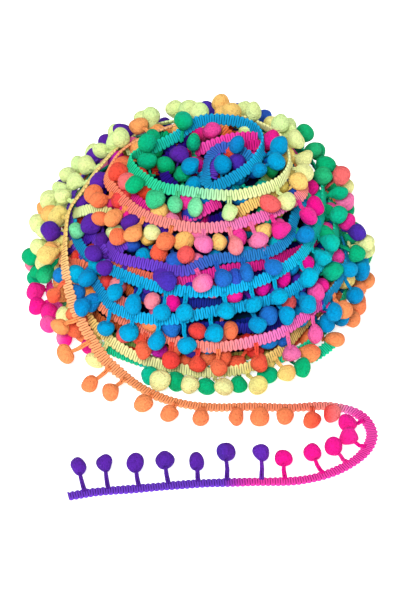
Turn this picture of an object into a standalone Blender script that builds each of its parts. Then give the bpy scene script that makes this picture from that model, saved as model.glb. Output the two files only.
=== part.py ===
"""A roll of rainbow pompom trim: one long braid, wound round and round into a low dome that stands on its
flat underside, with the loose end laid in a J on the table in front of it.

The trim is a narrow tape with a pompom on a short stem every few millimetres along one edge. On the roll that
edge is always the lower, outer one, so each turn's pompoms hang over the turn below. The wound part is one
solid: its core, its main turns as raised tapes, and its pompoms, which stand apart but for their roots. The
loose end is a flat tape, with its pompoms on narrow strips that lie just off the tape's edge.

Frame: metres, +Z up, the origin on the table under the middle of the roll, the loose end towards -Y.
The tables below are in millimetres and degrees.
"""

import math
from collections import namedtuple

import bmesh
import bpy
import numpy as np
from mathutils import Vector

MM = 0.001

# The trim's own sizes
TAPE_WIDTH = 7.0
TAPE_THICKNESS = 1.5
POMPOM_SPACING = 15.7
POMPOM_RADIUS = 4.8
POMPOM_REACH = 13.0
FIRST_POMPOM = 7.0
BARE_END = 2.0
STEM_RADIUS = 1.4
ANCHOR_DEPTH = 2.6
BALL_SHOULDER = 0.42
CORNER_RADIUS = 1.2 * POMPOM_RADIUS
RESTING_HEIGHT = CORNER_RADIUS * math.cos(math.pi / 4)
LAID_BELOW = CORNER_RADIUS + 1.0
UPRIGHT_LIMIT = 0.2

# How the solids are parted and joined
GAP = 0.35
STRIP_WIDTH = 1.6
TURN_SUNK = 5.0
CORE_INSET = 2.4
CORE_BLEND = 7.0
CORE_COLUMNS = 22
CORE_RINGS = 8
DOME_RADIUS = 87.0
TURN_STEP = 21.0
CROWN_STEP = 8.0
LOOSE_STEP = 6.0
SAMPLE_STEP = 0.5
CURVE_STEPS = 24
EVERY_FEW = 8

# How the pompoms hang and settle
UNEVEN_SPACING = 1.2
UNEVEN_REACH = 1.2
UNEVEN_SWAY = 2.5
POMPOM_LIFT = 4.0
POMPOM_APART = 11.2
POMPOM_CLEAR = 6.4
POMPOM_CRUSHED = 5.6
SHORTEST_ARM = 7.5
LONGEST_ARM = 11.5
NEARLY_RESTING = 1.5
OUT_OF_REACH = 1e6
SETTLING_ROUNDS = 120
SETTLING_RATE = 0.6
ROLL_REACH = 97.0
UPPER_KIND = 0
LOWER_KIND = 10

# A place on a turn: its bearing from the front towards the left, the radius and height of the tape's middle,
# and how far the tape's face is tilted up from standing upright.
Place = namedtuple("Place", "bearing radius height tilt")

CLIMB_OVER_LEFT_SHOULDER = (
    Place(34, 89.0, 10.4, 55),
    Place(41, 88.3, 20.0, 52),
    Place(48, 87.8, 31.0, 50),
    Place(54.5, 85.6, 40.0, 42),
    Place(62.3, 81.2, 47.5, 28),
    Place(71, 76.0, 54.5, 12),
    Place(84, 70.0, 59.5, 14),
    Place(94, 62.0, 65.0, 28),
    Place(110, 56.5, 68.0, 38),
    Place(137, 57.0, 67.0, 40),
    Place(165, 65.0, 61.5, 36),
    Place(197, 70.0, 58.5, 28),
)
FOURTH_TURN = (
    Place(228, 70.5, 58.5, 12),
    Place(247, 71.5, 54.0, 14),
    Place(266, 68.0, 51.0, 22),
    Place(287, 65.5, 52.5, 30),
    Place(308, 67.5, 55.0, 36),
    Place(333, 68.5, 56.0, 38),
    Place(360, 69.0, 55.8, 38),
    Place(390, 67.5, 55.0, 38),
    Place(427, 68.5, 50.0, 34),
    Place(460, 66.5, 51.0, 36),
    Place(500, 65.0, 56.0, 38),
    Place(540, 62.5, 61.0, 42),
    Place(585, 60.0, 67.0, 44),
)
SIXTH_TURN = (
    Place(631, 57.3, 72.0, 46),
    Place(657, 50.5, 75.5, 52),
    Place(685, 45.0, 78.0, 56),
    Place(712, 43.5, 79.0, 58),
    Place(740, 42.5, 79.0, 58),
    Place(770, 44.5, 79.0, 54),
    Place(802, 48.5, 79.0, 36),
    Place(818, 48.0, 79.0, 24),
    Place(840, 45.0, 79.0, 40),
    Place(870, 42.5, 78.5, 50),
    Place(900, 48.0, 76.5, 44),
    Place(926, 52.0, 79.0, 30),
)
CROWN_LOOP = (
    Place(947, 49.0, 84.0, 14),
    Place(966, 50.0, 86.0, 5),
    Place(990, 49.5, 86.5, 6),
    Place(1012, 45.5, 87.5, 26),
    Place(1040, 35.0, 88.5, 58),
    Place(1068, 27.0, 88.5, 62),
    Place(1098, 24.8, 88.5, 62),
    Place(1124, 29.0, 88.5, 58),
    Place(1156, 34.8, 88.5, 40),
    Place(1176, 36.6, 88.0, 10),
    Place(1195, 27.0, 88.0, -30),
    Place(1229, 24.0, 88.0, -36),
    Place(1260, 33.0, 88.0, -36),
    Place(1284, 38.0, 88.0, -34),
    Place(1306, 41.5, 88.0, -16),
    Place(1324, 39.0, 87.5, 4),
    Place(1346, 31.5, 87.0, 40),
    Place(1376, 22.5, 86.5, 58),
    Place(1410, 19.5, 86.0, 52),
)
HEART_COIL = (
    Place(-20, 14.0, 84.5, 90),
    Place(-36, 6.5, 84.0, 140),
    Place(-132, 6.6, 84.0, 150),
    Place(-146, 14.5, 84.5, 120),
    Place(-138, 20.9, 85.0, 138),
    Place(-122, 25.5, 84.5, 138),
    Place(-109, 29.7, 83.0, 138),
    Place(-99, 30.7, 80.0, 138),
)
GROUND_TURN = (
    Place(-160, 80.5, 6.0, 8),
    Place(-115, 81.0, 6.0, 8),
    Place(-80, 81.5, 6.5, 8),
    Place(-45, 82.0, 6.0, 8),
    Place(-12, 77.0, 5.5, 8),
    Place(20, 76.0, 5.5, 8),
    Place(55, 79.0, 7.0, 10),
    Place(90, 81.0, 10.0, 14),
    Place(135, 80.0, 8.0, 14),
    Place(180, 79.5, 9.0, 14),
    Place(225, 79.5, 13.0, 18),
    Place(272, 78.5, 17.0, 18),
)
SECOND_TURN = (
    Place(316, 77.5, 14.5, 20),
    Place(335, 81.5, 9.5, 18),
    Place(352, 82.0, 8.5, 18),
    Place(370, 79.0, 9.0, 20),
    Place(387, 79.5, 12.5, 20),
    Place(403, 78.5, 18.0, 18),
    Place(417, 76.5, 25.5, 14),
    Place(450, 79.5, 25.0, 16),
    Place(495, 80.5, 24.0, 18),
    Place(540, 80.5, 25.0, 18),
    Place(585, 80.0, 27.0, 18),
    Place(630, 79.5, 28.0, 16),
)
THIRD_TURN = (
    Place(655, 82.0, 28.0, 12),
    Place(680, 82.5, 28.5, 24),
    Place(695, 82.5, 27.0, 26),
    Place(720, 80.0, 26.5, 26),
    Place(755, 74.5, 30.0, 26),
    Place(783, 76.0, 37.0, 26),
    Place(810, 77.0, 40.0, 26),
    Place(855, 76.0, 40.5, 28),
    Place(900, 75.5, 41.5, 28),
    Place(945, 76.0, 42.0, 28),
    Place(990, 75.0, 39.5, 28),
)
UPPER_THIRD_TURN = (
    Place(1035, 72.0, 41.0, 30),
    Place(1078, 71.5, 42.5, 32),
    Place(1094, 77.0, 41.0, 30),
    Place(1108, 78.5, 40.0, 30),
    Place(1124, 74.5, 40.5, 30),
    Place(1170, 70.0, 51.0, 32),
    Place(1215, 68.0, 55.0, 36),
    Place(1260, 64.0, 58.0, 40),
    Place(1305, 61.0, 62.0, 42),
)
FIFTH_TURN = (
    Place(1350, 56.5, 66.5, 42),
    Place(1372, 56.0, 66.5, 42),
    Place(1386, 60.0, 64.5, 40),
    Place(1402, 60.0, 65.0, 42),
    Place(1432, 56.5, 67.5, 46),
    Place(1447, 62.0, 64.5, 44),
    Place(1466, 61.0, 63.0, 42),
    Place(1484, 63.0, 60.0, 38),
    Place(1497, 58.5, 57.5, 36),
)

# A bend of the loose end, with the height of the tape's middle over the table
Bend = namedtuple("Bend", "x y height")
LYING = TAPE_THICKNESS / 2

LOOSE_END = (
    Bend(-69.5, -171.4, LYING),
    Bend(-55.0, -168.0, LYING),
    Bend(-32.0, -165.2, LYING),
    Bend(-1.0, -161.4, LYING),
    Bend(27.0, -160.0, LYING),
    Bend(54.0, -158.8, LYING),
    Bend(73.0, -151.8, LYING),
    Bend(88.0, -138.5, LYING),
    Bend(93.5, -122.0, LYING),
    Bend(87.0, -106.8, LYING),
    Bend(71.5, -99.8, LYING),
    Bend(50.0, -101.0, LYING),
    Bend(27.0, -100.2, LYING),
    Bend(9.0, -100.8, LYING),
    Bend(-7.0, -98.6, 1.1),
    Bend(-22.0, -93.6, 2.4),
    Bend(-36.0, -85.6, 6.0),
)

# Pompoms with a place of their own: the number along the strand, how far along it they are shifted, their
# reach past the tape's middle towards its pompom edge, and how far they stand off its face
Hang = namedtuple("Hang", "number shift reach lift")

UPPER_HANGS = (
    Hang(0, 2, 18, 0), Hang(1, -1, 17.5, 0), Hang(2, 0, 16, 0), Hang(3, 1, 16.5, 0), Hang(4, 0, 14, 0),
    Hang(5, 0, 18.5, 0), Hang(6, 3.5, 19, 0), Hang(7, 0, 14.5, 0), Hang(8, 6, 15, 0),
    Hang(9, 7.5, 12.5, 0), Hang(10, 7, 11, 0), Hang(11, 14, 12, 0), Hang(12, 20, 8.5, 0),
    Hang(13, 15, 14, 0), Hang(14, 15, 10, 0), Hang(15, 12, 12, 0), Hang(16, 11, 12, 0),
    Hang(17, 10.5, 12.5, 0), Hang(18, 10.5, 12.5, 0), Hang(19, 8.5, 11, 0), Hang(20, 9.5, 13, 0),
    Hang(21, 7, 17, 0), Hang(22, 7.5, 17, -2), Hang(23, 5, 12, -5), Hang(24, 12, 12.5, -6),
    Hang(25, 15, 13.5, 0), Hang(26, 20, 12.5, 2), Hang(27, 12, 8, 4), Hang(28, 12, 9, 4),
    Hang(29, 9, 9, 4.5), Hang(30, 9, 10, 3), Hang(31, 9, 8, 1), Hang(32, 12, 8, 4),
    Hang(33, 10, 12.5, 4), Hang(34, 9, 13.5, 4), Hang(35, 8.5, 13.5, 4), Hang(36, 8.5, 13.5, 4),
    Hang(37, 10, 13, 4), Hang(38, 11.5, 4, 2.5), Hang(39, 9, 4, 4.5), Hang(40, 5, 4, 4),
    Hang(41, 4.5, 4.5, 4.5), Hang(42, 9.5, 7, 3.5), Hang(43, 4.5, 8, 2), Hang(44, 2.5, 11.5, -1),
    Hang(45, 7, 13.5, -3.5), Hang(46, 7, 13, -4), Hang(47, 5.5, 11.5, -4), Hang(48, 8, 10, 0),
    Hang(49, 3, 12.5, 1.5), Hang(50, 3, 12, 3), Hang(51, -0.5, 8.5, 3), Hang(52, 2, 8, 3),
    Hang(53, 2.5, 12.5, 4), Hang(54, 2.5, 13.5, 4), Hang(55, 3, 14, 4), Hang(56, 3, 13.5, 4),
    Hang(58, 3.5, 14, 4), Hang(60, 4, 14, 4), Hang(61, 4.5, 13, 4),
    Hang(62, 4.5, 12.5, 4), Hang(63, 5, 13.5, 4), Hang(69, -7.5, 10.5, -1),
    Hang(70, -2.5, 11, 1.5), Hang(71, -5, 12, 1.5), Hang(72, -7, 12.5, 0.5), Hang(73, -11, 8.5, 2.5),
    Hang(74, -9, 11, 3), Hang(75, -8, 12, 2.5), Hang(76, -12.5, 10, 4), Hang(77, -15, 7.5, 5),
    Hang(80, -2.5, 14, 4), Hang(82, 5.5, 12, 4), Hang(83, 10, 14, 4), Hang(84, 14, 4, 5),
    Hang(85, 7.5, 4, 2.5), Hang(86, -1.5, 14, 6), Hang(87, -6.5, 11, 5), Hang(88, -0.5, 8, 2),
    Hang(90, -4, 9.5, 1), Hang(91, -4.5, 9.5, 3.5), Hang(92, -8, 9.5, 3.5), Hang(93, -15.5, 7, 3.5),
    Hang(94, -20, 5, 4), Hang(95, -1, 4, -1.5), Hang(96, 1.5, 13, 4), Hang(97, 4, 6, 9),
    Hang(98, 3, 6, 9), Hang(99, -3, 1, 10), Hang(100, 8.5, 4, 8.5), Hang(101, 1, 8, 9),
    Hang(102, -11.5, 5.5, 8.5), Hang(104, -3, 3, 8.5), Hang(106, -2.5, 3, 8.5),
)
LOWER_HANGS = (
    Hang(10, 8.5, 4, 9), Hang(11, 7.5, 4, 9), Hang(12, 6.5, 4, 9), Hang(13, 6.5, 4, 6.5),
    Hang(14, 5, 4, 6), Hang(15, 8, 4, 5), Hang(16, 2.5, 4, 4), Hang(18, 8.5, 4, 7), Hang(19, 7, 5.5, 9),
    Hang(20, 6.5, 6, 8), Hang(21, 0.5, 5.5, 6), Hang(22, -9.5, 4, 4), Hang(37, 1.5, 10, 6.5),
    Hang(38, -4.5, 11, 5), Hang(39, -8.5, 14.5, 4), Hang(40, -6.5, 12.5, 5), Hang(41, -8.5, 5, 4.5),
    Hang(43, -5, 10, 9), Hang(44, -3.5, 8.5, 9), Hang(45, -2, 7, 7.5), Hang(46, -6.5, 7, 7.5),
    Hang(47, -5.5, 7, 4), Hang(48, -8, 9, 4.5), Hang(49, -3, 13.5, 4), Hang(73, -5, 4, 2.5),
    Hang(74, -12, 15.5, -2), Hang(75, -6.5, 17.5, -4), Hang(76, -4.5, 12.5, -4),
    Hang(77, 0.5, 7.5, 0.5), Hang(78, -4, 10, -2.5), Hang(79, -7, 6.5, 2), Hang(80, -6.5, 6, 2.5),
    Hang(104, 1.5, 9, 5), Hang(105, -3, 8, 4.5), Hang(106, -4, 8.5, 4), Hang(107, 4.5, 11.5, 4.5),
    Hang(108, 4.5, 15, -1), Hang(109, 1, 13, -4), Hang(110, 0.5, 10.5, -4), Hang(111, -1.5, 13.5, -2.5),
    Hang(112, -8, 7.5, 3), Hang(130, 2.5, 4, 3), Hang(131, 9, 7.5, 3.5), Hang(132, 6, 8, 4),
    Hang(133, 7, 10.5, 4), Hang(134, 3.5, 9, 2.5), Hang(135, -0.5, 5, 3), Hang(137, 10, 5, 6),
)

# Pompoms that are pressed in out of sight and aren't built
UPPER_PRESSED_IN = (57, 59, 64, 65, 66, 67, 68, 78, 79, 81, 89, 103, 105)
LOWER_PRESSED_IN = (17, 52, 66, 81, 83, 97, 103, 128, 129, 136)

# The strips that hold the loose end's pompoms, from its free tip inwards: how many pompoms each holds and
# where along the tape it ends
Strip = namedtuple("Strip", "pompoms end colour")

STRIPS = (
    Strip(5, 78.0, (0.13, 0.03, 0.50)),
    Strip(5, 163.0, (1.0, 0.02, 0.36)),
    Strip(2, 204.5, (1.0, 0.02, 0.40)),
    Strip(2, 234.0, (1.0, 0.05, 0.20)),
    Strip(4, 293.0, (1.0, 0.13, 0.07)),
    Strip(4, None, (1.0, 0.22, 0.07)),
)
ON_STRIPS = sum(strip.pompoms for strip in STRIPS)

ROLL_COLOUR = (0.0, 0.50, 0.80)
TAPE_COLOUR = (1.0, 0.07, 0.25)

# A trim's course: its middle, its face's normal, its direction and the way to its pompom edge
Course = namedtuple("Course", "middle face along edge")
Pompom = namedtuple("Pompom", "anchor root centre")


def unit(vectors):
    return vectors / np.linalg.norm(vectors, axis=-1, keepdims=True)


def wobble(index, kind):
    """A number from -1 to 1 that looks random and is always the same for one index and kind."""
    value = math.sin(12.9898 * (index + 1) + 78.233 * (kind + 1)) * 43758.5453
    return 2 * (value - math.floor(value)) - 1


def on_roll(places):
    """Rows of a point and a face normal for places on the roll."""
    bearing, radius, height, tilt = np.array(places, float).T
    bearing, tilt = np.radians(bearing), np.radians(tilt)
    outwards = np.stack([-np.sin(bearing), -np.cos(bearing)], 1)
    points = np.column_stack([outwards * radius[:, None], height])
    normals = np.column_stack([outwards * np.cos(tilt)[:, None], np.sin(tilt)])
    return np.hstack([points, normals])


def on_table(bends):
    """Rows of a point and an upward face normal for bends of the loose end."""
    points = np.array(bends, float)
    return np.hstack([points, np.tile([0.0, 0.0, 1.0], (len(points), 1))])


def smooth(rows, step):
    """The rows joined by a Catmull-Rom curve and read off again at even steps of length."""
    ends = 2 * rows[0] - rows[1], 2 * rows[-1] - rows[-2]
    padded = np.vstack([ends[0], rows, ends[1]])
    t = np.linspace(0, 1, CURVE_STEPS, endpoint=False)[:, None]
    pieces = []
    for a, b, c, d in zip(padded[:-3], padded[1:-2], padded[2:-1], padded[3:]):
        bend = (c - a) * t + (2 * a - 5 * b + 4 * c - d) * t**2 + (3 * b - 3 * c + d - a) * t**3
        pieces.append(b + 0.5 * bend)
    fine = np.vstack([*pieces, rows[-1:]])
    length = np.concatenate([[0], np.cumsum(np.linalg.norm(np.diff(fine[:, :3], axis=0), axis=1))])
    wanted = np.linspace(0, length[-1], round(length[-1] / step) + 1)
    return np.stack([np.interp(wanted, length, column) for column in fine.T], 1)


def course_of(*stretches):
    rows = smooth(np.vstack(stretches), SAMPLE_STEP)
    middle = rows[:, :3]
    along = unit(np.gradient(middle, axis=0))
    face = rows[:, 3:]
    face = unit(face - (face * along).sum(1, keepdims=True) * along)
    return Course(middle, face, along, np.cross(face, along))


def cut(course, start, end):
    """The part of a course between two distances from its start."""
    rows = slice(round(start / SAMPLE_STEP), round(end / SAMPLE_STEP) + 1)
    return Course(*(column[rows] for column in course))


def length_of(course):
    return (len(course.middle) - 1) * SAMPLE_STEP


def distance_to(course, place):
    """How far along a course it passes a place of its table."""
    gap = np.linalg.norm(course.middle - on_roll([place])[0, :3], axis=1)
    return gap.argmin() * SAMPLE_STEP


def core_radius(directions, turns):
    """How far the core reaches in each direction: just under the turns, following the outermost."""
    samples = turns[::EVERY_FEW]
    reach = np.linalg.norm(samples, axis=1)
    angle = np.arccos(np.clip(directions @ unit(samples).T, -1, 1))
    weight = np.exp(-((angle * DOME_RADIUS / CORE_BLEND) ** 2)) + 1e-12
    return (weight * reach).sum(1) / weight.sum(1) - CORE_INSET


def hung_pompoms(course, kind, hangs, pressed_in, on_strips=0):
    """Each pompom's anchor, root and first place, before they settle."""
    own = {hang.number: hang for hang in hangs}
    rows = []
    for number, at in enumerate(np.arange(FIRST_POMPOM, length_of(course) - BARE_END, POMPOM_SPACING)):
        if number in pressed_in:
            continue
        usual = Hang(number, 0, POMPOM_REACH + UNEVEN_REACH * wobble(number, kind + 1), POMPOM_LIFT)
        hang = own.get(number, usual)
        at += UNEVEN_SPACING * wobble(number, kind) + hang.shift
        middle, face, along, edge = (column[round(at / SAMPLE_STEP)] for column in course)
        root = middle + edge * (TAPE_WIDTH / 2)
        centre = middle + edge * hang.reach + face * hang.lift
        if number not in own:
            centre = centre + along * UNEVEN_SWAY * wobble(number, kind + 2)
        anchor = root - edge * (STRIP_WIDTH / 2) if number < on_strips else middle - face * ANCHOR_DEPTH
        rows.append((anchor, root, centre))
    return [np.array(column) for column in zip(*rows)]


def settled(roots, centres, tapes, turns):
    """The pompoms' places once they stand clear of each other, of the tapes, the core and the table."""
    itself = np.eye(len(centres)) * OUT_OF_REACH
    on_dome = (np.linalg.norm(roots, axis=1) < ROLL_REACH)[:, None]
    longest = np.maximum(LONGEST_ARM, np.linalg.norm(centres - roots, axis=1, keepdims=True))
    for _ in range(SETTLING_ROUNDS):
        apart = centres[:, None] - centres[None]
        distance = np.linalg.norm(apart, axis=2) + itself
        push = np.clip(POMPOM_APART - distance, 0, None) / 2
        centres = centres + (apart * (push / distance)[..., None]).sum(1)
        outwards = unit(centres) * on_dome * SETTLING_RATE
        nearest = np.linalg.norm(centres[:, None] - tapes[None], axis=2).min(1)
        centres = centres + outwards * np.clip(POMPOM_CLEAR - nearest, 0, None)[:, None]
        covered = core_radius(unit(centres), turns) + CORNER_RADIUS
        sunk = covered - np.linalg.norm(centres, axis=1)
        centres = centres + outwards * np.clip(sunk, 0, None)[:, None]
        arm = centres - roots
        arm_length = np.linalg.norm(arm, axis=1, keepdims=True)
        centres = roots + arm / arm_length * np.clip(arm_length, SHORTEST_ARM, longest)
        centres[:, 2] = np.maximum(centres[:, 2], RESTING_HEIGHT)
    centres[centres[:, 2] < RESTING_HEIGHT + NEARLY_RESTING, 2] = RESTING_HEIGHT
    return centres


def placed_pompoms(upper, lower, turns):
    """The pompoms of the loose end, and those of the roll that have room between its tapes."""
    tapes = np.vstack([
        strand.middle[::EVERY_FEW] + strand.edge[::EVERY_FEW] * side
        for strand in (upper, lower) for side in (-TAPE_WIDTH / 3, TAPE_WIDTH / 3)])
    hung = (
        hung_pompoms(upper, UPPER_KIND, UPPER_HANGS, UPPER_PRESSED_IN, ON_STRIPS),
        hung_pompoms(lower, LOWER_KIND, LOWER_HANGS, LOWER_PRESSED_IN))
    anchors, roots, centres = map(np.concatenate, zip(*hung))
    centres = settled(roots, centres, tapes, turns)
    room = np.linalg.norm(centres[:, None] - tapes[None], axis=2).min(1)
    pompoms = [Pompom(*row) for row in zip(anchors, roots, centres)]
    on_roll = zip(pompoms[ON_STRIPS:], room[ON_STRIPS:])
    return pompoms[:ON_STRIPS], [pompom for pompom, space in on_roll if space > POMPOM_CRUSHED]


def new_object(name, bm, collection):
    mesh = bpy.data.meshes.new(name)
    bm.to_mesh(mesh)
    bm.free()
    obj = bpy.data.objects.new(name, mesh)
    collection.objects.link(obj)
    return obj


def as_helper(obj):
    obj.hide_render = True
    obj.display_type = "WIRE"
    return obj


def finish(obj, name, colour):
    material = bpy.data.materials.new(name)
    material.use_nodes = True
    surface = material.node_tree.nodes["Principled BSDF"]
    surface.inputs["Base Color"].default_value = (*colour, 1)
    surface.inputs["Roughness"].default_value = 0.9
    surface.inputs["Metallic"].default_value = 0.0
    obj.data.materials.append(material)


def make_core(turns, collection):
    """A sphere, its rings drawn to the dome under the turns and its lowest ring to the flat underside."""
    bm = bmesh.new()
    bmesh.ops.create_uvsphere(bm, u_segments=CORE_COLUMNS, v_segments=CORE_RINGS, radius=1)
    for vert in bm.verts:
        ring = round(math.acos(max(-1, min(1, -vert.co.z))) / math.pi * CORE_RINGS)
        if ring == 0:
            vert.co = (0, 0, 0)
            continue
        bearing = math.atan2(vert.co.y, vert.co.x)
        rise = math.radians(90 * (ring - 1) / (CORE_RINGS - 1))
        direction = np.array([[
            math.cos(bearing) * math.cos(rise), math.sin(bearing) * math.cos(rise), math.sin(rise)]])
        point = direction[0] * core_radius(direction, turns)[0]
        vert.co = Vector(point) * MM
        if ring == 1:
            vert.co.z = 0
    return new_object("wound_roll", bm, collection)


def make_tape(name, course, step, edges, thickness, collection):
    """A strip along a course, between two distances from its middle, thickened towards its inner side."""
    count = max(2, round(length_of(course) / step))
    last = len(course.middle) - 1
    bm = bmesh.new()
    bmesh.ops.create_grid(bm, x_segments=count, y_segments=1, size=1)
    for vert in bm.verts:
        row = round((vert.co.x + 1) / 2 * last)
        side = edges[0] if vert.co.y < 0 else edges[1]
        vert.co = (course.middle[row] + course.edge[row] * side) * MM
    obj = new_object(name, bm, collection)
    solid = obj.modifiers.new("thickness", "SOLIDIFY")
    solid.thickness = thickness * MM
    solid.offset = TAPE_THICKNESS / thickness - 1
    solid.use_even_offset = True
    return obj


def add_pompom(bm, pompom):
    """A four-sided lock: a thin stem from inside the turn, and a blunt ball that lies level on the table."""
    root, centre = Vector(pompom.root), Vector(pompom.centre)
    arm = (centre - root).normalized()
    ball = arm.copy()
    if centre.z < LAID_BELOW:
        ball.z = 0
        ball.normalize()
    across = ball.cross(Vector((0, 0, 1)))
    across = across.normalized() if across.length > UPRIGHT_LIMIT else Vector((1, 0, 0))
    upright = ball.cross(across)
    rings = (
        (Vector(pompom.anchor), 0),
        (centre - arm * POMPOM_RADIUS, STEM_RADIUS),
        (centre - ball * (POMPOM_RADIUS * BALL_SHOULDER), CORNER_RADIUS),
        (centre + ball * (POMPOM_RADIUS * BALL_SHOULDER), CORNER_RADIUS),
        (centre + ball * POMPOM_RADIUS, 0),
    )
    made = bmesh.ops.create_uvsphere(bm, u_segments=4, v_segments=len(rings) - 1, radius=1)
    for vert in made["verts"]:
        ring = round(math.acos(max(-1, min(1, -vert.co.z))) / math.pi * (len(rings) - 1))
        middle, radius = rings[ring]
        turn = math.atan2(vert.co.y, vert.co.x) + math.pi / 4
        vert.co = (middle + (across * math.cos(turn) + upright * math.sin(turn)) * radius) * MM


def make_pompoms(name, pompoms, collection):
    bm = bmesh.new()
    for pompom in pompoms:
        add_pompom(bm, pompom)
    bmesh.ops.recalc_face_normals(bm, faces=bm.faces)
    return as_helper(new_object(name, bm, collection))


def join(body, pieces):
    """Makes one solid of a body and of the pieces in a collection, where they meet."""
    union = body.modifiers.new("joined", "BOOLEAN")
    union.operation = "UNION"
    union.operand_type = "COLLECTION"
    union.collection = pieces
    union.solver = "EXACT"
    union.use_self = True


def new_collection(name, hidden=False):
    collection = bpy.data.collections.new(name)
    bpy.context.scene.collection.children.link(collection)
    collection.hide_render = hidden
    return collection


def make_roll(climbing, lower, pompoms, trim):
    """The wound part: its core, its turns and their pompoms, as one solid."""
    pieces = new_collection("roll_pieces", hidden=True)
    turns = np.vstack([climbing.middle, lower.middle])
    roll = make_core(turns, trim)
    finish(roll, "wound_roll", ROLL_COLOUR)
    to_crown = distance_to(climbing, CROWN_LOOP[0])
    for name, course, step in (
            ("upper_turns", cut(climbing, 0, to_crown), TURN_STEP),
            ("crown_turns", cut(climbing, to_crown, length_of(climbing)), CROWN_STEP),
            ("lower_turns", lower, TURN_STEP)):
        edges = (-TAPE_WIDTH / 2, TAPE_WIDTH / 2)
        as_helper(make_tape(name, course, step, edges, TAPE_THICKNESS + TURN_SUNK, pieces))
    make_pompoms("turn_pompoms", pompoms, pieces)
    join(roll, pieces)


def make_loose_end(loose, pompoms, trim):
    """The loose tape, and just off its edge the strips that hold its pompoms."""
    strip_edges = (TAPE_WIDTH / 2 - STRIP_WIDTH, TAPE_WIDTH / 2)
    tape_edges = (-TAPE_WIDTH / 2, strip_edges[0] - GAP)
    tape = make_tape("loose_tape", loose, LOOSE_STEP, tape_edges, TAPE_THICKNESS, trim)
    finish(tape, "loose_tape", TAPE_COLOUR)
    start, used = 0, 0
    for number, strip in enumerate(STRIPS, 1):
        name = f"loose_pompoms_{number}"
        used += strip.pompoms
        end = strip.end or length_of(loose)
        band = make_tape(name, cut(loose, start, end - GAP), LOOSE_STEP, strip_edges, TAPE_THICKNESS, trim)
        finish(band, name, strip.colour)
        pieces = new_collection(f"strip_pieces_{number}", hidden=True)
        make_pompoms(f"strip_pompoms_{number}", pompoms[used - strip.pompoms:used], pieces)
        join(band, pieces)
        start = end


def main():
    for obj in list(bpy.data.objects):
        bpy.data.objects.remove(obj)
    trim = new_collection("pompom_trim_roll")
    upper = course_of(
        on_table(LOOSE_END), on_roll(CLIMB_OVER_LEFT_SHOULDER), on_roll(FOURTH_TURN),
        on_roll(SIXTH_TURN), on_roll(CROWN_LOOP), on_roll(HEART_COIL))
    lower = course_of(
        on_roll(GROUND_TURN), on_roll(SECOND_TURN), on_roll(THIRD_TURN),
        on_roll(UPPER_THIRD_TURN), on_roll(FIFTH_TURN))
    meeting = distance_to(upper, CLIMB_OVER_LEFT_SHOULDER[0])
    loose = cut(upper, 0, meeting - SAMPLE_STEP)
    climbing = cut(upper, meeting + SAMPLE_STEP, length_of(upper))
    turns = np.vstack([climbing.middle, lower.middle])
    loose_pompoms, roll_pompoms = placed_pompoms(upper, lower, turns)
    make_roll(climbing, lower, roll_pompoms, trim)
    make_loose_end(loose, loose_pompoms, trim)


main()
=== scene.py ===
"""The looks of a roll of rainbow pompom trim: a ribbed gimp braid with yarn pompoms tied along one edge, dyed
through the whole rainbow along its length, wound into a low dome with its loose end laid out in front.

The outer turns and their pompoms stand where the solids have them. The turns under them, which only show
between the pompoms, are added here. Tables are in millimetres and degrees, and meshes are made in metres.
"""

import math
from collections import namedtuple

import bmesh
import bpy
import numpy as np
from mathutils import Matrix, Vector


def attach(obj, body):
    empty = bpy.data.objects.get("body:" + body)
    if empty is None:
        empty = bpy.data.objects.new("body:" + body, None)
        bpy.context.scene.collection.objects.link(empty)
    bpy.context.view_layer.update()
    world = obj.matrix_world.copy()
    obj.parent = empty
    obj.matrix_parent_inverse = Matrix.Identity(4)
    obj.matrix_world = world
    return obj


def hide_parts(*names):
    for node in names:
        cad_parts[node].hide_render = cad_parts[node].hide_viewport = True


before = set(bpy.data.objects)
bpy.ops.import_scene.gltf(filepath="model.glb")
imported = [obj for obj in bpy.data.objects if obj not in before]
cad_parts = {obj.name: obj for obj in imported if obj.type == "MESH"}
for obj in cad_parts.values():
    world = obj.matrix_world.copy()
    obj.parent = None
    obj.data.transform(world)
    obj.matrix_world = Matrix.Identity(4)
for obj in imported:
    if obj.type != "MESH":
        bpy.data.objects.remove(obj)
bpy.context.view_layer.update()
MM = 0.001

# The trim's own sizes
TAPE_WIDTH = 7.0
TAPE_THICKNESS = 1.5
POMPOM_SPACING = 15.7
POMPOM_RADIUS = 4.8
POMPOM_REACH = 13.0
FIRST_POMPOM = 7.0
BARE_END = 2.0
CORNER_RADIUS = 1.2 * POMPOM_RADIUS
RESTING_HEIGHT = CORNER_RADIUS * math.cos(math.pi / 4)
CORE_INSET = 2.4
CORE_BLEND = 7.0
DOME_RADIUS = 87.0
SAMPLE_STEP = 0.5
CURVE_STEPS = 24
EVERY_FEW = 8
LEAST_WEIGHT = 1e-12

# How the pompoms hang and settle
UNEVEN_SPACING = 1.2
UNEVEN_REACH = 1.2
UNEVEN_SWAY = 2.5
POMPOM_LIFT = 4.0
POMPOM_APART = 11.2
POMPOM_CLEAR = 6.4
POMPOM_CRUSHED = 5.6
SHORTEST_ARM = 7.5
LONGEST_ARM = 11.5
NEARLY_RESTING = 1.5
OUT_OF_REACH = 1e6
SETTLING_ROUNDS = 120
SETTLING_RATE = 0.6
ROLL_REACH = 97.0
UPPER_KIND = 0
LOWER_KIND = 10

# The braid's relief
RIB_PITCH = 1.36
ROWS_PER_RIB = 3
GROOVE_DEPTH = 0.45
SCALLOP = 0.42
RIB_LEAN = 0.2
ROUNDED_EDGE = 0.35
LOOP_STEEPNESS = 1.8
LOOP_STARTS = 0.6
UNEVEN_WIDTH = 0.03
WIDTH_WAVE = 0.31
LEAN_WAVE = 0.057
LEAN_START = 1.3

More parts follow.
